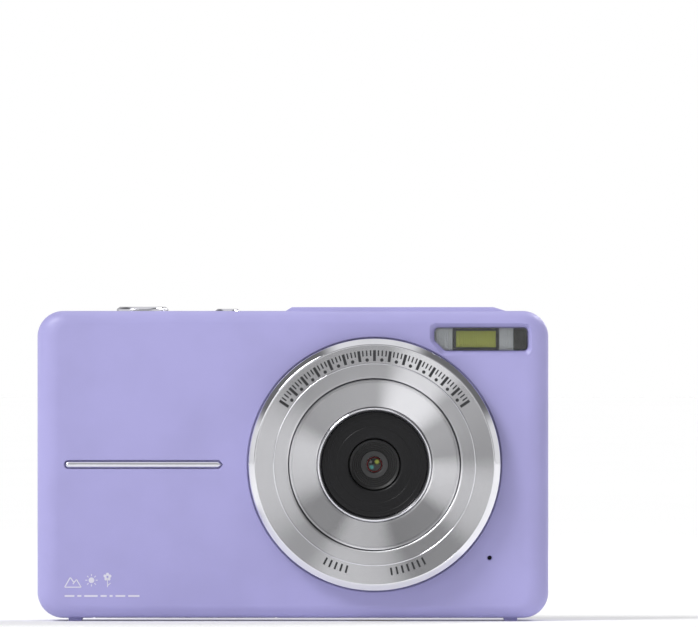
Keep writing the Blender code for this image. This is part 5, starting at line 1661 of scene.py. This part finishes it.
    def ring_signs(self, origin: Vector) -> None:
        """The signs on the ring: a lamp above, a timer at the left, a picture at the right, a bin below."""
        rise = (-0.12 * MM, 0.045 * MM)
        lean = math.atan(KEY_RING_CONE)
        signs = {
            (0, 1): (
                [(0.0, 0.15, 0.52, 0.36)],
                (((-0.22, -0.5), (0.22, -0.5)), ((-0.18, -0.72), (0.18, -0.72)), ((0, 0.95), (0, 1.25)),
                 ((-0.65, 0.75), (-0.85, 0.98)), ((0.65, 0.75), (0.85, 0.98)), ((-0.85, 0.15), (-1.15, 0.15)),
                 ((0.85, 0.15), (1.15, 0.15))),
            ),
            (-1, 0): (
                [(0.0, 0.0, 0.85, 0.68)],
                (((0, 0), (0, 0.5)), ((0, 0), (0.34, -0.2)), ((-0.25, 1.02), (0.25, 1.02))),
            ),
            (1, 0): (
                [(-0.4, 0.25, 0.17, 0.0)],
                (((-0.95, 0.65), (0.95, 0.65)), ((-0.95, -0.65), (0.95, -0.65)), ((-0.95, -0.65), (-0.95, 0.65)),
                 ((0.95, -0.65), (0.95, 0.65)), ((-0.7, -0.4), (-0.1, 0.05)), ((-0.1, 0.05), (0.7, -0.4))),
            ),
            (0, -1): (
                [],
                (((-0.75, 0.6), (0.75, 0.6)), ((-0.22, 0.82), (0.22, 0.82)), ((-0.58, 0.55), (-0.45, -0.75)),
                 ((0.58, 0.55), (0.45, -0.75)), ((-0.45, -0.75), (0.45, -0.75)), ((-0.16, 0.3), (-0.14, -0.5)),
                 ((0.16, 0.3), (0.14, -0.5))),
            ),
        }
        made = []
        for (right, up), (loops, strokes) in signs.items():
            size = self.ring_sign_size
            parts = [loop(*[value * size for value in ring], rise) for ring in loops]
            parts += [stroke(Vector(start) * size, Vector(end) * size, 0.22, rise) for start, end in strokes]
            group = join("group", parts)
            activate(group)
            group.rotation_euler = (lean * up, -lean * right, 0)
            radius = 6.65 * MM
            group.location = (right * radius, up * radius, 0.21 * MM + (radius - 4.72 * MM) * KEY_RING_CONE)
            settle()
            made.append(group)
        piece = place(join("ring_signs", made), Facing.BACK, origin)
        dress(piece, self.ink, body="nav_ring")


# ---- screen


@dataclass(frozen=True)
class Landscape(Finish):
    """The lit picture: a plain barn on a sloping meadow under a soft sky, with a dark border.

    Args:
        centre: The middle of the picture.
        half: Half of its width and of its height.
        glow: How bright it is.
    """

    centre: Vector
    half: Pair
    glow: float = 0.8

    def paint(self, nodes: Nodes) -> None:
        """Lays the finish on a node tree."""
        x, _, z = nodes.axis()
        u = nodes.maths("DIVIDE", nodes.maths("SUBTRACT", self.centre.x, x), self.half[0])
        v = nodes.maths("DIVIDE", nodes.maths("SUBTRACT", z, self.centre.z), self.half[1])
        picture = self.sky(nodes, u, v)
        picture = self.meadow(nodes, u, v, picture)
        picture = self.barn(nodes, u, v, picture)
        lean = nodes.maths("ADD", nodes.maths("MULTIPLY_ADD", v, -0.295, 0.155), u)
        fading = nodes.spread(lean, -1.3, 0.0, 0.06, 0.30)
        glare = nodes.maths("MULTIPLY", fading, nodes.spread(lean, -0.012, 0.0, 1.0, 0.0))
        picture = nodes.mix(glare, picture, (0.9, 0.93, 0.95))
        edge = nodes.maths("MAXIMUM", nodes.maths("ABSOLUTE", u), nodes.maths("ABSOLUTE", v))
        border = nodes.spread(edge, 0.972, 0.98)
        shown = nodes.mix(border, picture, (0.016, 0.018, 0.030))
        nodes.set(
            Base_Color=shown,
            Emission_Color=shown,
            Emission_Strength=nodes.maths("MULTIPLY_ADD", border, -self.glow, self.glow),
            Roughness=nodes.spread(nodes.noise(800, 1), 0.3, 0.7, 0.35, 0.45),
        )
        nodes.set(Specular_IOR_Level=0.1)

    def sky(self, nodes: Nodes, u: Socket, v: Socket) -> Socket:
        """The sky: deep above, pale low down, with soft streaks of cloud."""
        pale, deep = linear(214, 228, 236), linear(96, 152, 200)
        colour = nodes.mix(nodes.spread(v, 0.0, 1.0), pale, deep)
        cloud = nodes.noise(95, 4, (0.45, 1, 1.1), 0.6)
        streak = nodes.noise(34, 2, (0.6, 1, 1.6))
        share = nodes.maths("MULTIPLY", nodes.spread(cloud, 0.48, 0.70), nodes.spread(streak, 0.42, 0.62))
        return nodes.mix(nodes.maths("MULTIPLY", share, 0.85), colour, linear(244, 244, 240))

    def meadow(self, nodes: Nodes, u: Socket, v: Socket,
               behind: Socket) -> Socket:
        """A rust and olive meadow of tufts and dry grass, below a rising horizon."""
        ragged = nodes.spread(nodes.noise(260, 3, (1, 1, 0.5)), 0.2, 0.8, -0.022, 0.022)
        slope = nodes.maths("ADD", nodes.maths("MULTIPLY_ADD", u, 0.15, 0.10), ragged)
        depth = nodes.maths("SUBTRACT", v, slope)
        tufts = nodes.noise(330, 4, (1, 1, 0.8), 0.7)
        patch = nodes.noise(130, 3, (0.7, 1, 1.2), 0.6)
        dry = nodes.mix(nodes.spread(nodes.noise(210, 2), 0.4, 0.62), linear(150, 138, 70), linear(196, 164, 104))
        rust = nodes.mix(nodes.spread(tufts, 0.35, 0.65), linear(176, 112, 98), linear(122, 66, 56))
        grown = nodes.mix(nodes.spread(patch, 0.43, 0.56), dry, rust)
        shaded = nodes.mix(nodes.spread(tufts, 0.52, 0.72, 0, 0.7), grown, linear(72, 60, 34))
        far = nodes.mix(nodes.spread(depth, -0.22, 0.0, 0.0, 0.45), shaded, linear(178, 122, 112))
        return nodes.mix(nodes.spread(depth, -0.010, 0.0, 1.0, 0.0), behind, far)

    def barn(self, nodes: Nodes, u: Socket, v: Socket,
             behind: Socket) -> Socket:
        """A plain boarded barn with a pitched roof, a door and a window, at the right."""

        def inside(left: float, right: float, low: float, high: float) -> Socket:
            """A share that is 1 within a rectangle of the picture."""
            wide = nodes.maths("ABSOLUTE", nodes.maths("SUBTRACT", u, (left + right) / 2))
            tall = nodes.maths("ABSOLUTE", nodes.maths("SUBTRACT", v, (low + high) / 2))
            return nodes.maths("MULTIPLY", nodes.maths("LESS_THAN", wide, (right - left) / 2),
                               nodes.maths("LESS_THAN", tall, (high - low) / 2))

        boards = nodes.maths("SINE", nodes.maths("MULTIPLY", u, 260))
        wall = nodes.mix(nodes.spread(boards, -1, 1, 0, 0.5), linear(190, 44, 40), linear(136, 28, 30))
        colour = nodes.mix(inside(0.66, 0.92, 0.10, 0.43), behind, wall)
        shadow = nodes.mix(0.45, wall, (0.03, 0.015, 0.03))
        colour = nodes.mix(inside(0.34, 0.66, 0.10, 0.40), colour, shadow)
        lean = nodes.maths("ABSOLUTE", nodes.maths("SUBTRACT", u, 0.79))
        eaves = nodes.maths("MULTIPLY_ADD", lean, -1.9, 0.70)
        gable = nodes.maths("MULTIPLY", nodes.maths("LESS_THAN", v, eaves), nodes.maths("GREATER_THAN", v, 0.42))
        colour = nodes.mix(gable, colour, wall)
        tiles = nodes.noise(700, 2, (1, 1, 3))
        roof = nodes.mix(nodes.spread(tiles, 0.3, 0.7), linear(226, 216, 196), linear(176, 168, 160))
        cover = nodes.maths("MULTIPLY", inside(0.30, 0.79, 0.38, 0.68), nodes.maths("GREATER_THAN", v, eaves))
        pitch = nodes.maths("LESS_THAN", v, nodes.maths("MULTIPLY_ADD", u, 2.6, -0.40))
        colour = nodes.mix(nodes.maths("MULTIPLY", cover, pitch), colour, roof)
        for opening, tone in (
            ((0.74, 0.84, 0.10, 0.33), (236, 226, 204)),
            ((0.42, 0.48, 0.20, 0.31), (236, 206, 92)),
            ((0.53, 0.59, 0.20, 0.31), (236, 206, 92)),
            ((0.765, 0.815, 0.46, 0.56), (52, 70, 130)),
        ):
            colour = nodes.mix(inside(*opening), colour, linear(*tone))
        return colour


@dataclass
class Screen:
    """The glass over the display, the lit picture under it, and the status light above the keys."""

    def build(self) -> None:
        """Builds the glass, the picture, the display behind it and the light."""
        self.glass()
        self.picture()
        self.light()

    def glass(self) -> None:
        """The glass, with fine rounded edges."""
        box = Box.of("screen_window")
        origin = box.at(y=box.low.y)
        soft = 0.15 * MM
        steps = [(0, box.size.y - soft), *quarter(soft, soft, 3)]
        pane = plate("screen_glass", (box.size.x, box.size.z), 0.7 * MM, steps, Facing.BACK, origin, 6)
        dress(pane, Clear("screen_clear", (0.97, 0.98, 1.0), 0.01, ior=1.45, coat=0.3),
              "screen_window")

    def picture(self) -> None:
        """The display, its lit face just under the glass."""
        box, panel = Box.of("screen_window"), Box.of("display_panel")
        front = panel.high.y
        inner = (box.size.x - 3.2 * MM, box.size.z - 3.2 * MM)
        body_steps = [(0, panel.size.y - 0.2 * MM), (0.2 * MM, 0.2 * MM)]
        origin = panel.at(y=panel.low.y)
        body = plate("display_body", (panel.size.x, panel.size.z), 0.8 * MM, body_steps, Facing.BACK, origin, 5)
        dress(body, Moulded("display_grey", linear(70, 72, 78), 0.4, mottle=0.1), "display_panel")
        rise = box.low.y - 0.06 * MM - front - 0.02 * MM
        middle = box.at(y=front + 0.02 * MM)
        wide = (box.size.x - 0.3 * MM, box.size.z - 0.3 * MM)
        grow = -(wide[0] - inner[0]) / 2
        steps = [(0, rise - 0.26 * MM), (grow, 0), (0, 0.2 * MM), (0.04 * MM, 0.04 * MM)]
        lit = plate("lit_picture", inner, 0.5 * MM, steps, Facing.BACK, middle, 5)
        dress(lit, Landscape("landscape", box.centre, (wide[0] / 2, wide[1] / 2)))

    def light(self) -> None:
        """The pale pill of the status light inside a thin grey collar."""
        box = Box.of("status_light_window")
        back = Box.of("rear_shell").high.y - CREST
        origin = box.at(y=box.low.y)
        size = (box.size.x - 0.46 * MM, box.size.z - 0.46 * MM)
        soft = 0.16 * MM
        steps = [(0, box.size.y - soft), *quarter(soft * 1.6, soft, 4)]
        pill = plate("light_pill", size, size[1] * 0.49, steps, Facing.BACK, origin, 10)
        dress(pill, Moulded("mint_glow", linear(206, 232, 222), 0.25, mottle=0.04, coat=0.5),
              "status_light_window")
        outer = (box.size.x, box.size.z)
        start = box.at(y=back - 1.6 * MM)
        collar = plate("light_collar", outer, outer[1] * 0.49,
                       [(0, 1.56 * MM), (0.06 * MM, 0.06 * MM)], Facing.BACK, start, 10)
        hole = (size[0] + 0.06 * MM, size[1] + 0.06 * MM)
        cut(collar, plate("collar_hole", hole, hole[1] * 0.49, [(0, 3 * MM)], Facing.BACK,
                          start - Vector((0, 0.5 * MM, 0)), 10))
        dress(collar, Moulded("collar_grey", linear(120, 122, 132), 0.35, mottle=0.08))


# ---- base and sides


def pin_end(radius: float) -> list[Pair]:
    """The softened end of a pin that rises from height 0."""
    return [(0, 0), (radius - 0.12 * MM, 0), (radius, 0.15 * MM)]


def pin(radius: float, run: float, waist: Profile = ()) -> list[Pair]:
    """The profile of a pin with two softened ends, and the points of a waist between them."""
    return [*pin_end(radius), *waist, *((r, run - h) for r, h in reversed(pin_end(radius)))]


@dataclass
class BatteryDoor:
    """The door in the base: a plate with a round hinge edge, a finger notch and a catch."""

    finish: Material
    thick: float = 1.4 * MM
    hinge_radius: float = 1.28 * MM
    bore: float = 0.75 * MM

    def build(self) -> None:
        """Builds the door and its pin."""
        box, pin_box = Box.of("battery_door"), Box.of("door_hinge_pin")
        hinge = pin_box.centre
        size = (box.size.x, box.high.y - hinge.y)
        soft = 0.14 * MM
        top = box.low.z + self.thick
        origin = Vector((box.centre.x, (box.high.y + hinge.y) / 2, top))
        steps = [(0, self.thick - soft), *quarter(soft, soft, 3)]
        door = plate("door", size, 0.3 * MM, steps, Facing.DOWN, origin, 4)
        left = Vector((box.low.x, hinge.y, hinge.z))
        reach, length = self.hinge_radius, box.size.x
        profile = [(0, 0), (reach - 0.1 * MM, 0), (reach, 0.1 * MM), (reach, length - 0.1 * MM),
                   (reach - 0.1 * MM, length), (0, length)]
        barrel = turned("door_barrel", profile, Facing.RIGHT, left, 48)
        catch_y = box.high.y - 1.0 * MM, box.high.y - 0.15 * MM
        catch = block("door_catch", (box.centre.x - 4 * MM, catch_y[0], top - 0.3 * MM),
                      (box.centre.x + 4 * MM, catch_y[1], box.low.z + 2.35 * MM), 0.1 * MM)
        unite(door, barrel, catch)
        notch_at = Vector((box.centre.x, box.high.y - 1.9 * MM, box.low.z + 0.45 * MM))
        notch = plate("finger_notch", (11 * MM, 1.7 * MM), 0.82 * MM,
                      [(0, 0.1 * MM), (-0.2 * MM, 0.35 * MM), (-0.1 * MM, 0.2 * MM)], Facing.DOWN, notch_at, 8)
        bore = [(0, -1 * MM), (self.bore, -1 * MM), (self.bore, length + 1 * MM), (0, length + 1 * MM)]
        cut(door, notch, turned("pin_bore", bore, Facing.RIGHT, left, 32))
        dress(door, self.finish, "battery_door", "battery_door")
        low, high = -0.35 * MM, -0.06 * MM
        rib = rod("grip_rib", (-4.0 * MM, 0), (4.0 * MM, 0), 0.2 * MM, (low, high), 0.05 * MM)
        ribs = copies(rib, [(0, y * MM, 0, 0) for y in (-0.45, 0.0, 0.45)])
        face = Vector((notch_at.x, notch_at.y, box.low.z))
        grip = place(join("door_grip", ribs), Facing.DOWN, face)
        dress(grip, self.finish, body="battery_door")
        steel = Metal("pin_steel", (0.62, 0.62, 0.64), 0.25).make()
        ends = pin(pin_box.size.y / 2, pin_box.size.x)
        rod_piece = turned("door_pin", ends, Facing.RIGHT, pin_box.at(x=pin_box.low.x), 32)
        dress(rod_piece, steel, "door_hinge_pin")


@dataclass
class Fittings:
    """The screws, the tripod bush, the cable socket, the strap bar and the loudspeaker."""

    def build(self) -> None:
        """Builds every fitting."""
        steel = Metal("zinc_steel", (0.58, 0.58, 0.61), 0.26, grain=0.002 * MM).make()
        for screw in CASE_SCREWS:
            self.screw(screw, steel)
        self.bush()
        self.socket(steel)
        self.strap_bar()
        self.speaker()

    def screw(self, screw: CaseScrew, finish: Material) -> None:
        """A cross-head screw with a threaded shank."""
        box = Box.of(screw.node)
        axis = max(range(3), key=lambda i: box.size[i])
        head = Vector(box.centre)
        head[axis] = box.high[axis] if screw.facing is Facing.RIGHT else box.low[axis]
        length = box.size[axis]
        profile = [(0, -length), (0.42 * MM, -length), (0.68 * MM, -length + 0.45 * MM)]
        level = -length + 0.6 * MM
        while level < -1.1 * MM:
            profile += [(0.92 * MM, level), (0.92 * MM, level + 0.08 * MM), (0.70 * MM, level + 0.24 * MM)]
            level += 0.42 * MM
        profile += [(0.72 * MM, -0.75 * MM), (1.4 * MM, -0.75 * MM), (1.4 * MM, -0.22 * MM),
                    (1.34 * MM, -0.1 * MM), (1.2 * MM, -0.03 * MM), (0.8 * MM, 0), (0, 0)]
        piece = turned(f"{screw.node}_threaded", profile, Facing.UP, Vector((0, 0, 0)), 40)
        arms = [rod("arm", start, end, 0.3 * MM, (-0.45 * MM, 0.3 * MM), 0.0) for start, end in (
            ((-0.8 * MM, 0), (0.8 * MM, 0)), ((0, -0.8 * MM), (0, 0.8 * MM)))]
        cut(piece, *arms)
        place(piece, screw.facing, head)
        dress(piece, finish, screw.node)

    def bush(self) -> None:
        """The blind threaded bush."""
        box = Box.of("tripod_bush")
        radius, bore = box.size.x / 2 - 0.6 * MM, 3.0 * MM
        top, low = box.high.z, box.low.z
        flange = 2.5 * MM
        profile = [(0, top), (radius - 0.2 * MM, top), (radius, top - 0.2 * MM), (radius, flange + 1.0 * MM),
                   (radius + 0.6 * MM, flange + 1.0 * MM), (radius + 0.6 * MM, flange), (radius, flange),
                   (radius, low + 0.12 * MM), (radius - 0.12 * MM, low), (bore + 0.45 * MM, low),
                   (bore + 0.05 * MM, low + 0.4 * MM)]
        level = low + 0.5 * MM
        while level < top - 2.4 * MM:
            profile += [(bore, level + 0.1 * MM), (bore, level + 0.2 * MM), (bore + 0.4 * MM, level + 0.62 * MM),
                        (bore + 0.4 * MM, level + 0.72 * MM), (bore, level + 1.14 * MM)]
            level += 1.27 * MM
        profile += [(bore, top - 1.2 * MM), (0, top - 1.2 * MM)]
        piece = turned("threaded_bush", profile, Facing.UP, box.at(z=0), 72)
        dress(piece, Metal("turned_brass", (0.72, 0.56, 0.30), 0.22, grain=0.002 * MM), "tripod_bush")

    def socket(self, finish: Material) -> None:
        """The cable socket: a round-ended shell with a tongue and its contacts."""
        box = Box.of("usb_socket")
        wall = 0.35 * MM
        size = box.size.y, box.size.z
        start = box.at(x=box.low.x)
        steps = [(0, box.size.x - 0.08 * MM), (0.08 * MM, 0.08 * MM)]
        shell = plate("socket_shell", size, 1.1 * MM, steps, Facing.RIGHT, start, 8)
        inside = plate("socket_inside", (size[0] - 2 * wall, size[1] - 2 * wall), 0.8 * MM,
                       [(0, box.size.x)], Facing.RIGHT, start + Vector((wall * 3, 0, 0)), 8)
        cut(shell, inside)
        dress(shell, finish, "usb_socket")
        tongue = block("socket_tongue", (box.low.x + wall, box.centre.y - 0.32 * MM, box.low.z + 1.3 * MM),
                       (box.high.x - 1.2 * MM, box.centre.y + 0.32 * MM, box.high.z - 1.3 * MM), 0.12 * MM)
        dress(tongue, Moulded("tongue_black", linear(30, 30, 32), 0.4, mottle=0.1))
        pad = block("contact", (box.low.x + 2 * MM, box.centre.y - 0.36 * MM, box.centre.z - 0.14 * MM),
                    (box.high.x - 1.5 * MM, box.centre.y + 0.36 * MM, box.centre.z + 0.14 * MM), 0.02 * MM, 1)
        pads = copies(pad, [(0, 0, i * 0.5 * MM, 0) for i in range(-5, 6)])
        gold = Metal("contact_gold", (0.86, 0.66, 0.32), 0.18).make()
        dress(join("socket_contacts", pads), gold)

    def strap_bar(self) -> None:
        """The strap's bar, its ends let into the casing."""
        box = Box.of("strap_bar")
        radius, run = box.size.x / 2, box.size.z
        waist = [(radius, 1.6 * MM), (radius * 0.86, 2.0 * MM), (radius * 0.86, run - 2.0 * MM),
                 (radius, run - 1.6 * MM)]
        bar = turned("strap_pin", pin(radius, run, waist), Facing.UP, box.at(z=box.low.z), 48)
        dress(bar, Metal("bar_chrome", (0.78, 0.78, 0.82), 0.12), "strap_bar")

    def speaker(self) -> None:
        """The loudspeaker, its cone facing the sound slots."""
        box = Box.of("speaker")
        full = box.size.x / 2 / MM
        profile = ((0, -0.55), (1.6, -0.35), (1.7, -0.55), (2.9, -0.8), (3.5, -0.35), (3.9, -0.3), (4.08, -0.4),
                   (4.1, 0), (full - 0.1, 0), (full, -0.1), (full, -1.5), (full - 0.15, -1.65), (3.0, -2.95),
                   (0, -3.0))
        origin = box.at(z=box.low.z)
        piece = turned("speaker_cone", in_mm(profile), Facing.DOWN, origin, 72)
        dress(piece, Moulded("cone_grey", linear(44, 44, 46), 0.6, grain=0.01 * MM, mottle=0.15),
              "speaker")


# ---- pieces inside


@dataclass(frozen=True)
class Board(Finish):
    """A circuit board: green lacquer over faint copper tracks."""

    def paint(self, nodes: Nodes) -> None:
        """Lays the finish on a node tree."""
        tracks = nodes.add("ShaderNodeTexBrick", {
            "Scale": 420, "Mortar Size": 0.012, "Vector": nodes.place, "Color1": (0.02, 0.13, 0.06, 1),
            "Color2": (0.016, 0.11, 0.05, 1), "Mortar": (0.05, 0.20, 0.09, 1),
        })
        nodes.set(
            Base_Color=tracks.outputs["Color"],
            Roughness=nodes.spread(nodes.noise(500, 2), 0.3, 0.7, 0.25, 0.4),
            Normal=nodes.bump(tracks.outputs["Fac"], 0.01 * MM),
            Coat_Weight=0.4,
        )


@dataclass
class InnerPieces:
    """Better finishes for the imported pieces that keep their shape."""

    def build(self) -> None:
        """Makes each finish once, and gives it to its nodes."""
        finishes = (
            (Metal("spring_steel", (0.60, 0.60, 0.63), 0.28, grain=0.003 * MM),
             ("shutter_spring", "display_tray", "card_socket")),
            (Metal("contact_brass", (0.74, 0.58, 0.32), 0.25), ("battery_contact_left", "battery_contact_right")),
            (Board("lacquered_board"), ("sensor_board", "top_button_board", "keypad_board", "main_board")),
            (Moulded("chip_black", linear(34, 35, 37), 0.55, grain=0.006 * MM, mottle=0.12),
             ("image_sensor", "processor")),
            (Moulded("soft_grey_rubber", linear(92, 92, 98), 0.75, grain=0.008 * MM, mottle=0.1),
             ("nav_pivot_ring", "keypad_mat")),
            (Moulded("inner_grey", linear(128, 130, 134), 0.5, mottle=0.08),
             ("shutter_switch", "power_switch", "battery_cradle", "memory_card")),
            (Moulded("holder_black", linear(30, 30, 31), 0.45, mottle=0.12),
             ("lens_holder", "microphone", "microphone_boot")),
            (Moulded("flex_film", linear(186, 122, 40), 0.3, grain=0.002 * MM, mottle=0.1, coat=0.4),
             ("sensor_flex", "display_flex")),
            (Moulded("battery_film", linear(62, 96, 150), 0.28, grain=0.002 * MM, mottle=0.06, coat=0.5),
             ("battery",)),
            (Moulded("diode_mint", linear(200, 232, 216), 0.3, mottle=0.05, coat=0.5), ("status_led",)),
            (Moulded("diode_yellow", linear(196, 190, 70), 0.35, mottle=0.1, coat=0.4), ("flash_led",)),
            (Clear("filter_glass", (0.70, 0.90, 0.88), 0.02, ior=1.5, coat=0.6, coat_tint=(0.7, 0.4, 0.5)),
             ("infrared_filter",)),
        )
        for finish, nodes in finishes:
            material = finish.make()
            for node in nodes:
                for place_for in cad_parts[node].material_slots:
                    place_for.material = material
                LOG.info("%s: %s", node, finish.name)


# ---- studio


class RoomNodes(Nodes):
    """The node tree of a world, which reads the direction that it is seen in."""

    def __post_init__(self) -> None:
        """Makes the world and finds its background."""
        self.material = bpy.data.worlds.new(self.name)
        self.material.use_nodes = True
        self.tree = self.material.node_tree
        self.shader = self.tree.nodes["Background"]
        self.place = self.add("ShaderNodeTexCoord").outputs["Generated"]


@dataclass
class Studio:
    """A flat pale floor, a broad soft sun, pale surroundings and a long lens square to the front.

    Args:
        width: How much width the picture shows at the object's middle.
        distance: How far the lens stands from it.
        aside: How far the lens stands to the right of the object's middle.
        above: How high the lens stands.
    """

    width: float = 135.5 * MM
    distance: float = 3.0
    aside: float = 10.87 * MM
    above: float = 59.6 * MM

    def build(self) -> None:
        """Sets up the floor, the lamps, the surroundings and the lens."""
        self.floor()
        self.lamps()
        self.surroundings()
        self.lens()

    def floor(self) -> None:
        """Models the floor as a wide pale sheet, clear from below so that the base can be seen."""
        deselect()
        bpy.ops.mesh.primitive_grid_add(x_subdivisions=8, y_subdivisions=8, size=16, location=(0, 0, 0))
        floor = named("studio_floor")
        nodes = Nodes("studio_white")
        cloud = nodes.noise(6, 2)
        nodes.set(
            Base_Color=nodes.mix(cloud, (0.82, 0.82, 0.82), (0.84, 0.84, 0.84)),
            Roughness=0.9,
            Specular_IOR_Level=0.0,
            Emission_Color=nodes.mix(cloud, (1, 1, 1), (0.98, 0.98, 0.98)),
            Emission_Strength=0.09,
        )
        below = nodes.add("ShaderNodeMixShader", {
            0: nodes.add("ShaderNodeNewGeometry").outputs["Backfacing"],
            1: nodes.shader.outputs[0],
            2: nodes.add("ShaderNodeBsdfTransparent").outputs[0],
        })
        nodes.feed(nodes.tree.nodes["Material Output"].inputs["Surface"], below.outputs[0])
        floor.data.materials.append(nodes.material)

    def lamp(self, name: str, at: Vector, aim: Vector, size: Pair, power: float) -> None:
        """Adds a soft rectangular lamp.

        Args:
            name: The lamp's name.
            at: Where it stands.
            aim: Where it points.
            size: Its width and height.
            power: Its power in watts.
        """
        bpy.ops.object.light_add(type="AREA", location=at)
        lamp = bpy.context.object
        lamp.name = name
        lamp.rotation_euler = (aim - at).to_track_quat("-Z", "Y").to_euler()
        lamp.data.shape = "RECTANGLE"
        lamp.data.size, lamp.data.size_y = size
        lamp.data.energy = power

    def lamps(self) -> None:
        """Adds a soft sun at the upper left of the front and of the back, and a small lamp near each."""
        for name, aim, strength in (("key_sun", (0.70, 0.52, -0.85), 1.8), ("back_sun", (-0.62, -0.55, -0.8), 1.15)):
            bpy.ops.object.light_add(type="SUN", location=(0, 0, 1.5))
            sun = bpy.context.object
            sun.name = name
            sun.rotation_euler = Vector(aim).to_track_quat("-Z", "Y").to_euler()
            sun.data.energy = strength
            sun.data.angle = math.radians(22)
        middle = Vector((0, 0, 30 * MM))
        self.lamp("front_lamp", Vector((-0.45, -0.8, 0.35)), middle, (0.35, 0.35), 0.7)
        self.lamp("back_lamp", Vector((0.45, 0.8, 0.35)), middle, (0.35, 0.35), 1.1)

    def surroundings(self) -> None:
        """Makes the room white to the lens, and in reflections banded as among soft boxes."""
        room = RoomNodes("studio_room")
        bpy.context.scene.world = room.material
        x, y, z = room.axis()
        turn = room.maths("ARCTAN2", z, x)
        bands = room.spread(room.maths("COSINE", room.maths("MULTIPLY", turn, 4.0)), -0.35, 0.45, 0.16, 0.80)
        aside = room.spread(room.maths("ABSOLUTE", y), 0.55, 0.9, 0.0, 1.0)
        ends = room.spread(y, -0.5, 0.5, 0.40, 0.46)
        glow = room.mix(aside, bands, ends)
        path = room.add("ShaderNodeLightPath").outputs["Is Camera Ray"]
        room.set(Color=room.mix(path, glow, (1, 1, 1)), Strength=1.0)
        bpy.context.scene.view_settings.view_transform = "Standard"

    def lens(self) -> None:
        """Adds the long lens, square to the camera's front."""
        bpy.ops.object.camera_add(location=(self.aside, -self.distance, self.above), rotation=(RIGHT_ANGLE, 0, 0))
        camera = bpy.context.object
        camera.name = "studio_camera"
        camera.data.sensor_width = 36
        camera.data.lens = camera.data.sensor_width * self.distance / self.width
        camera.data.clip_start, camera.data.clip_end = 0.1, 30
        bpy.context.scene.camera = camera


def main() -> None:
    """Builds the studio and each sub-assembly in turn."""
    logging.basicConfig(level=logging.INFO, format="%(message)s")
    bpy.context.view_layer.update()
    Studio().build()
    lavender = Moulded("lavender_casing", linear(168, 164, 216)).make()
    FrontCasing(lavender).build()
    RearCasing(lavender).build()
    Lens().build()
    FrontDetails().build()
    Keys().build()
    Screen().build()
    BatteryDoor(lavender).build()
    Fittings().build()
    InnerPieces().build()


if __name__ == "__main__":
    main()
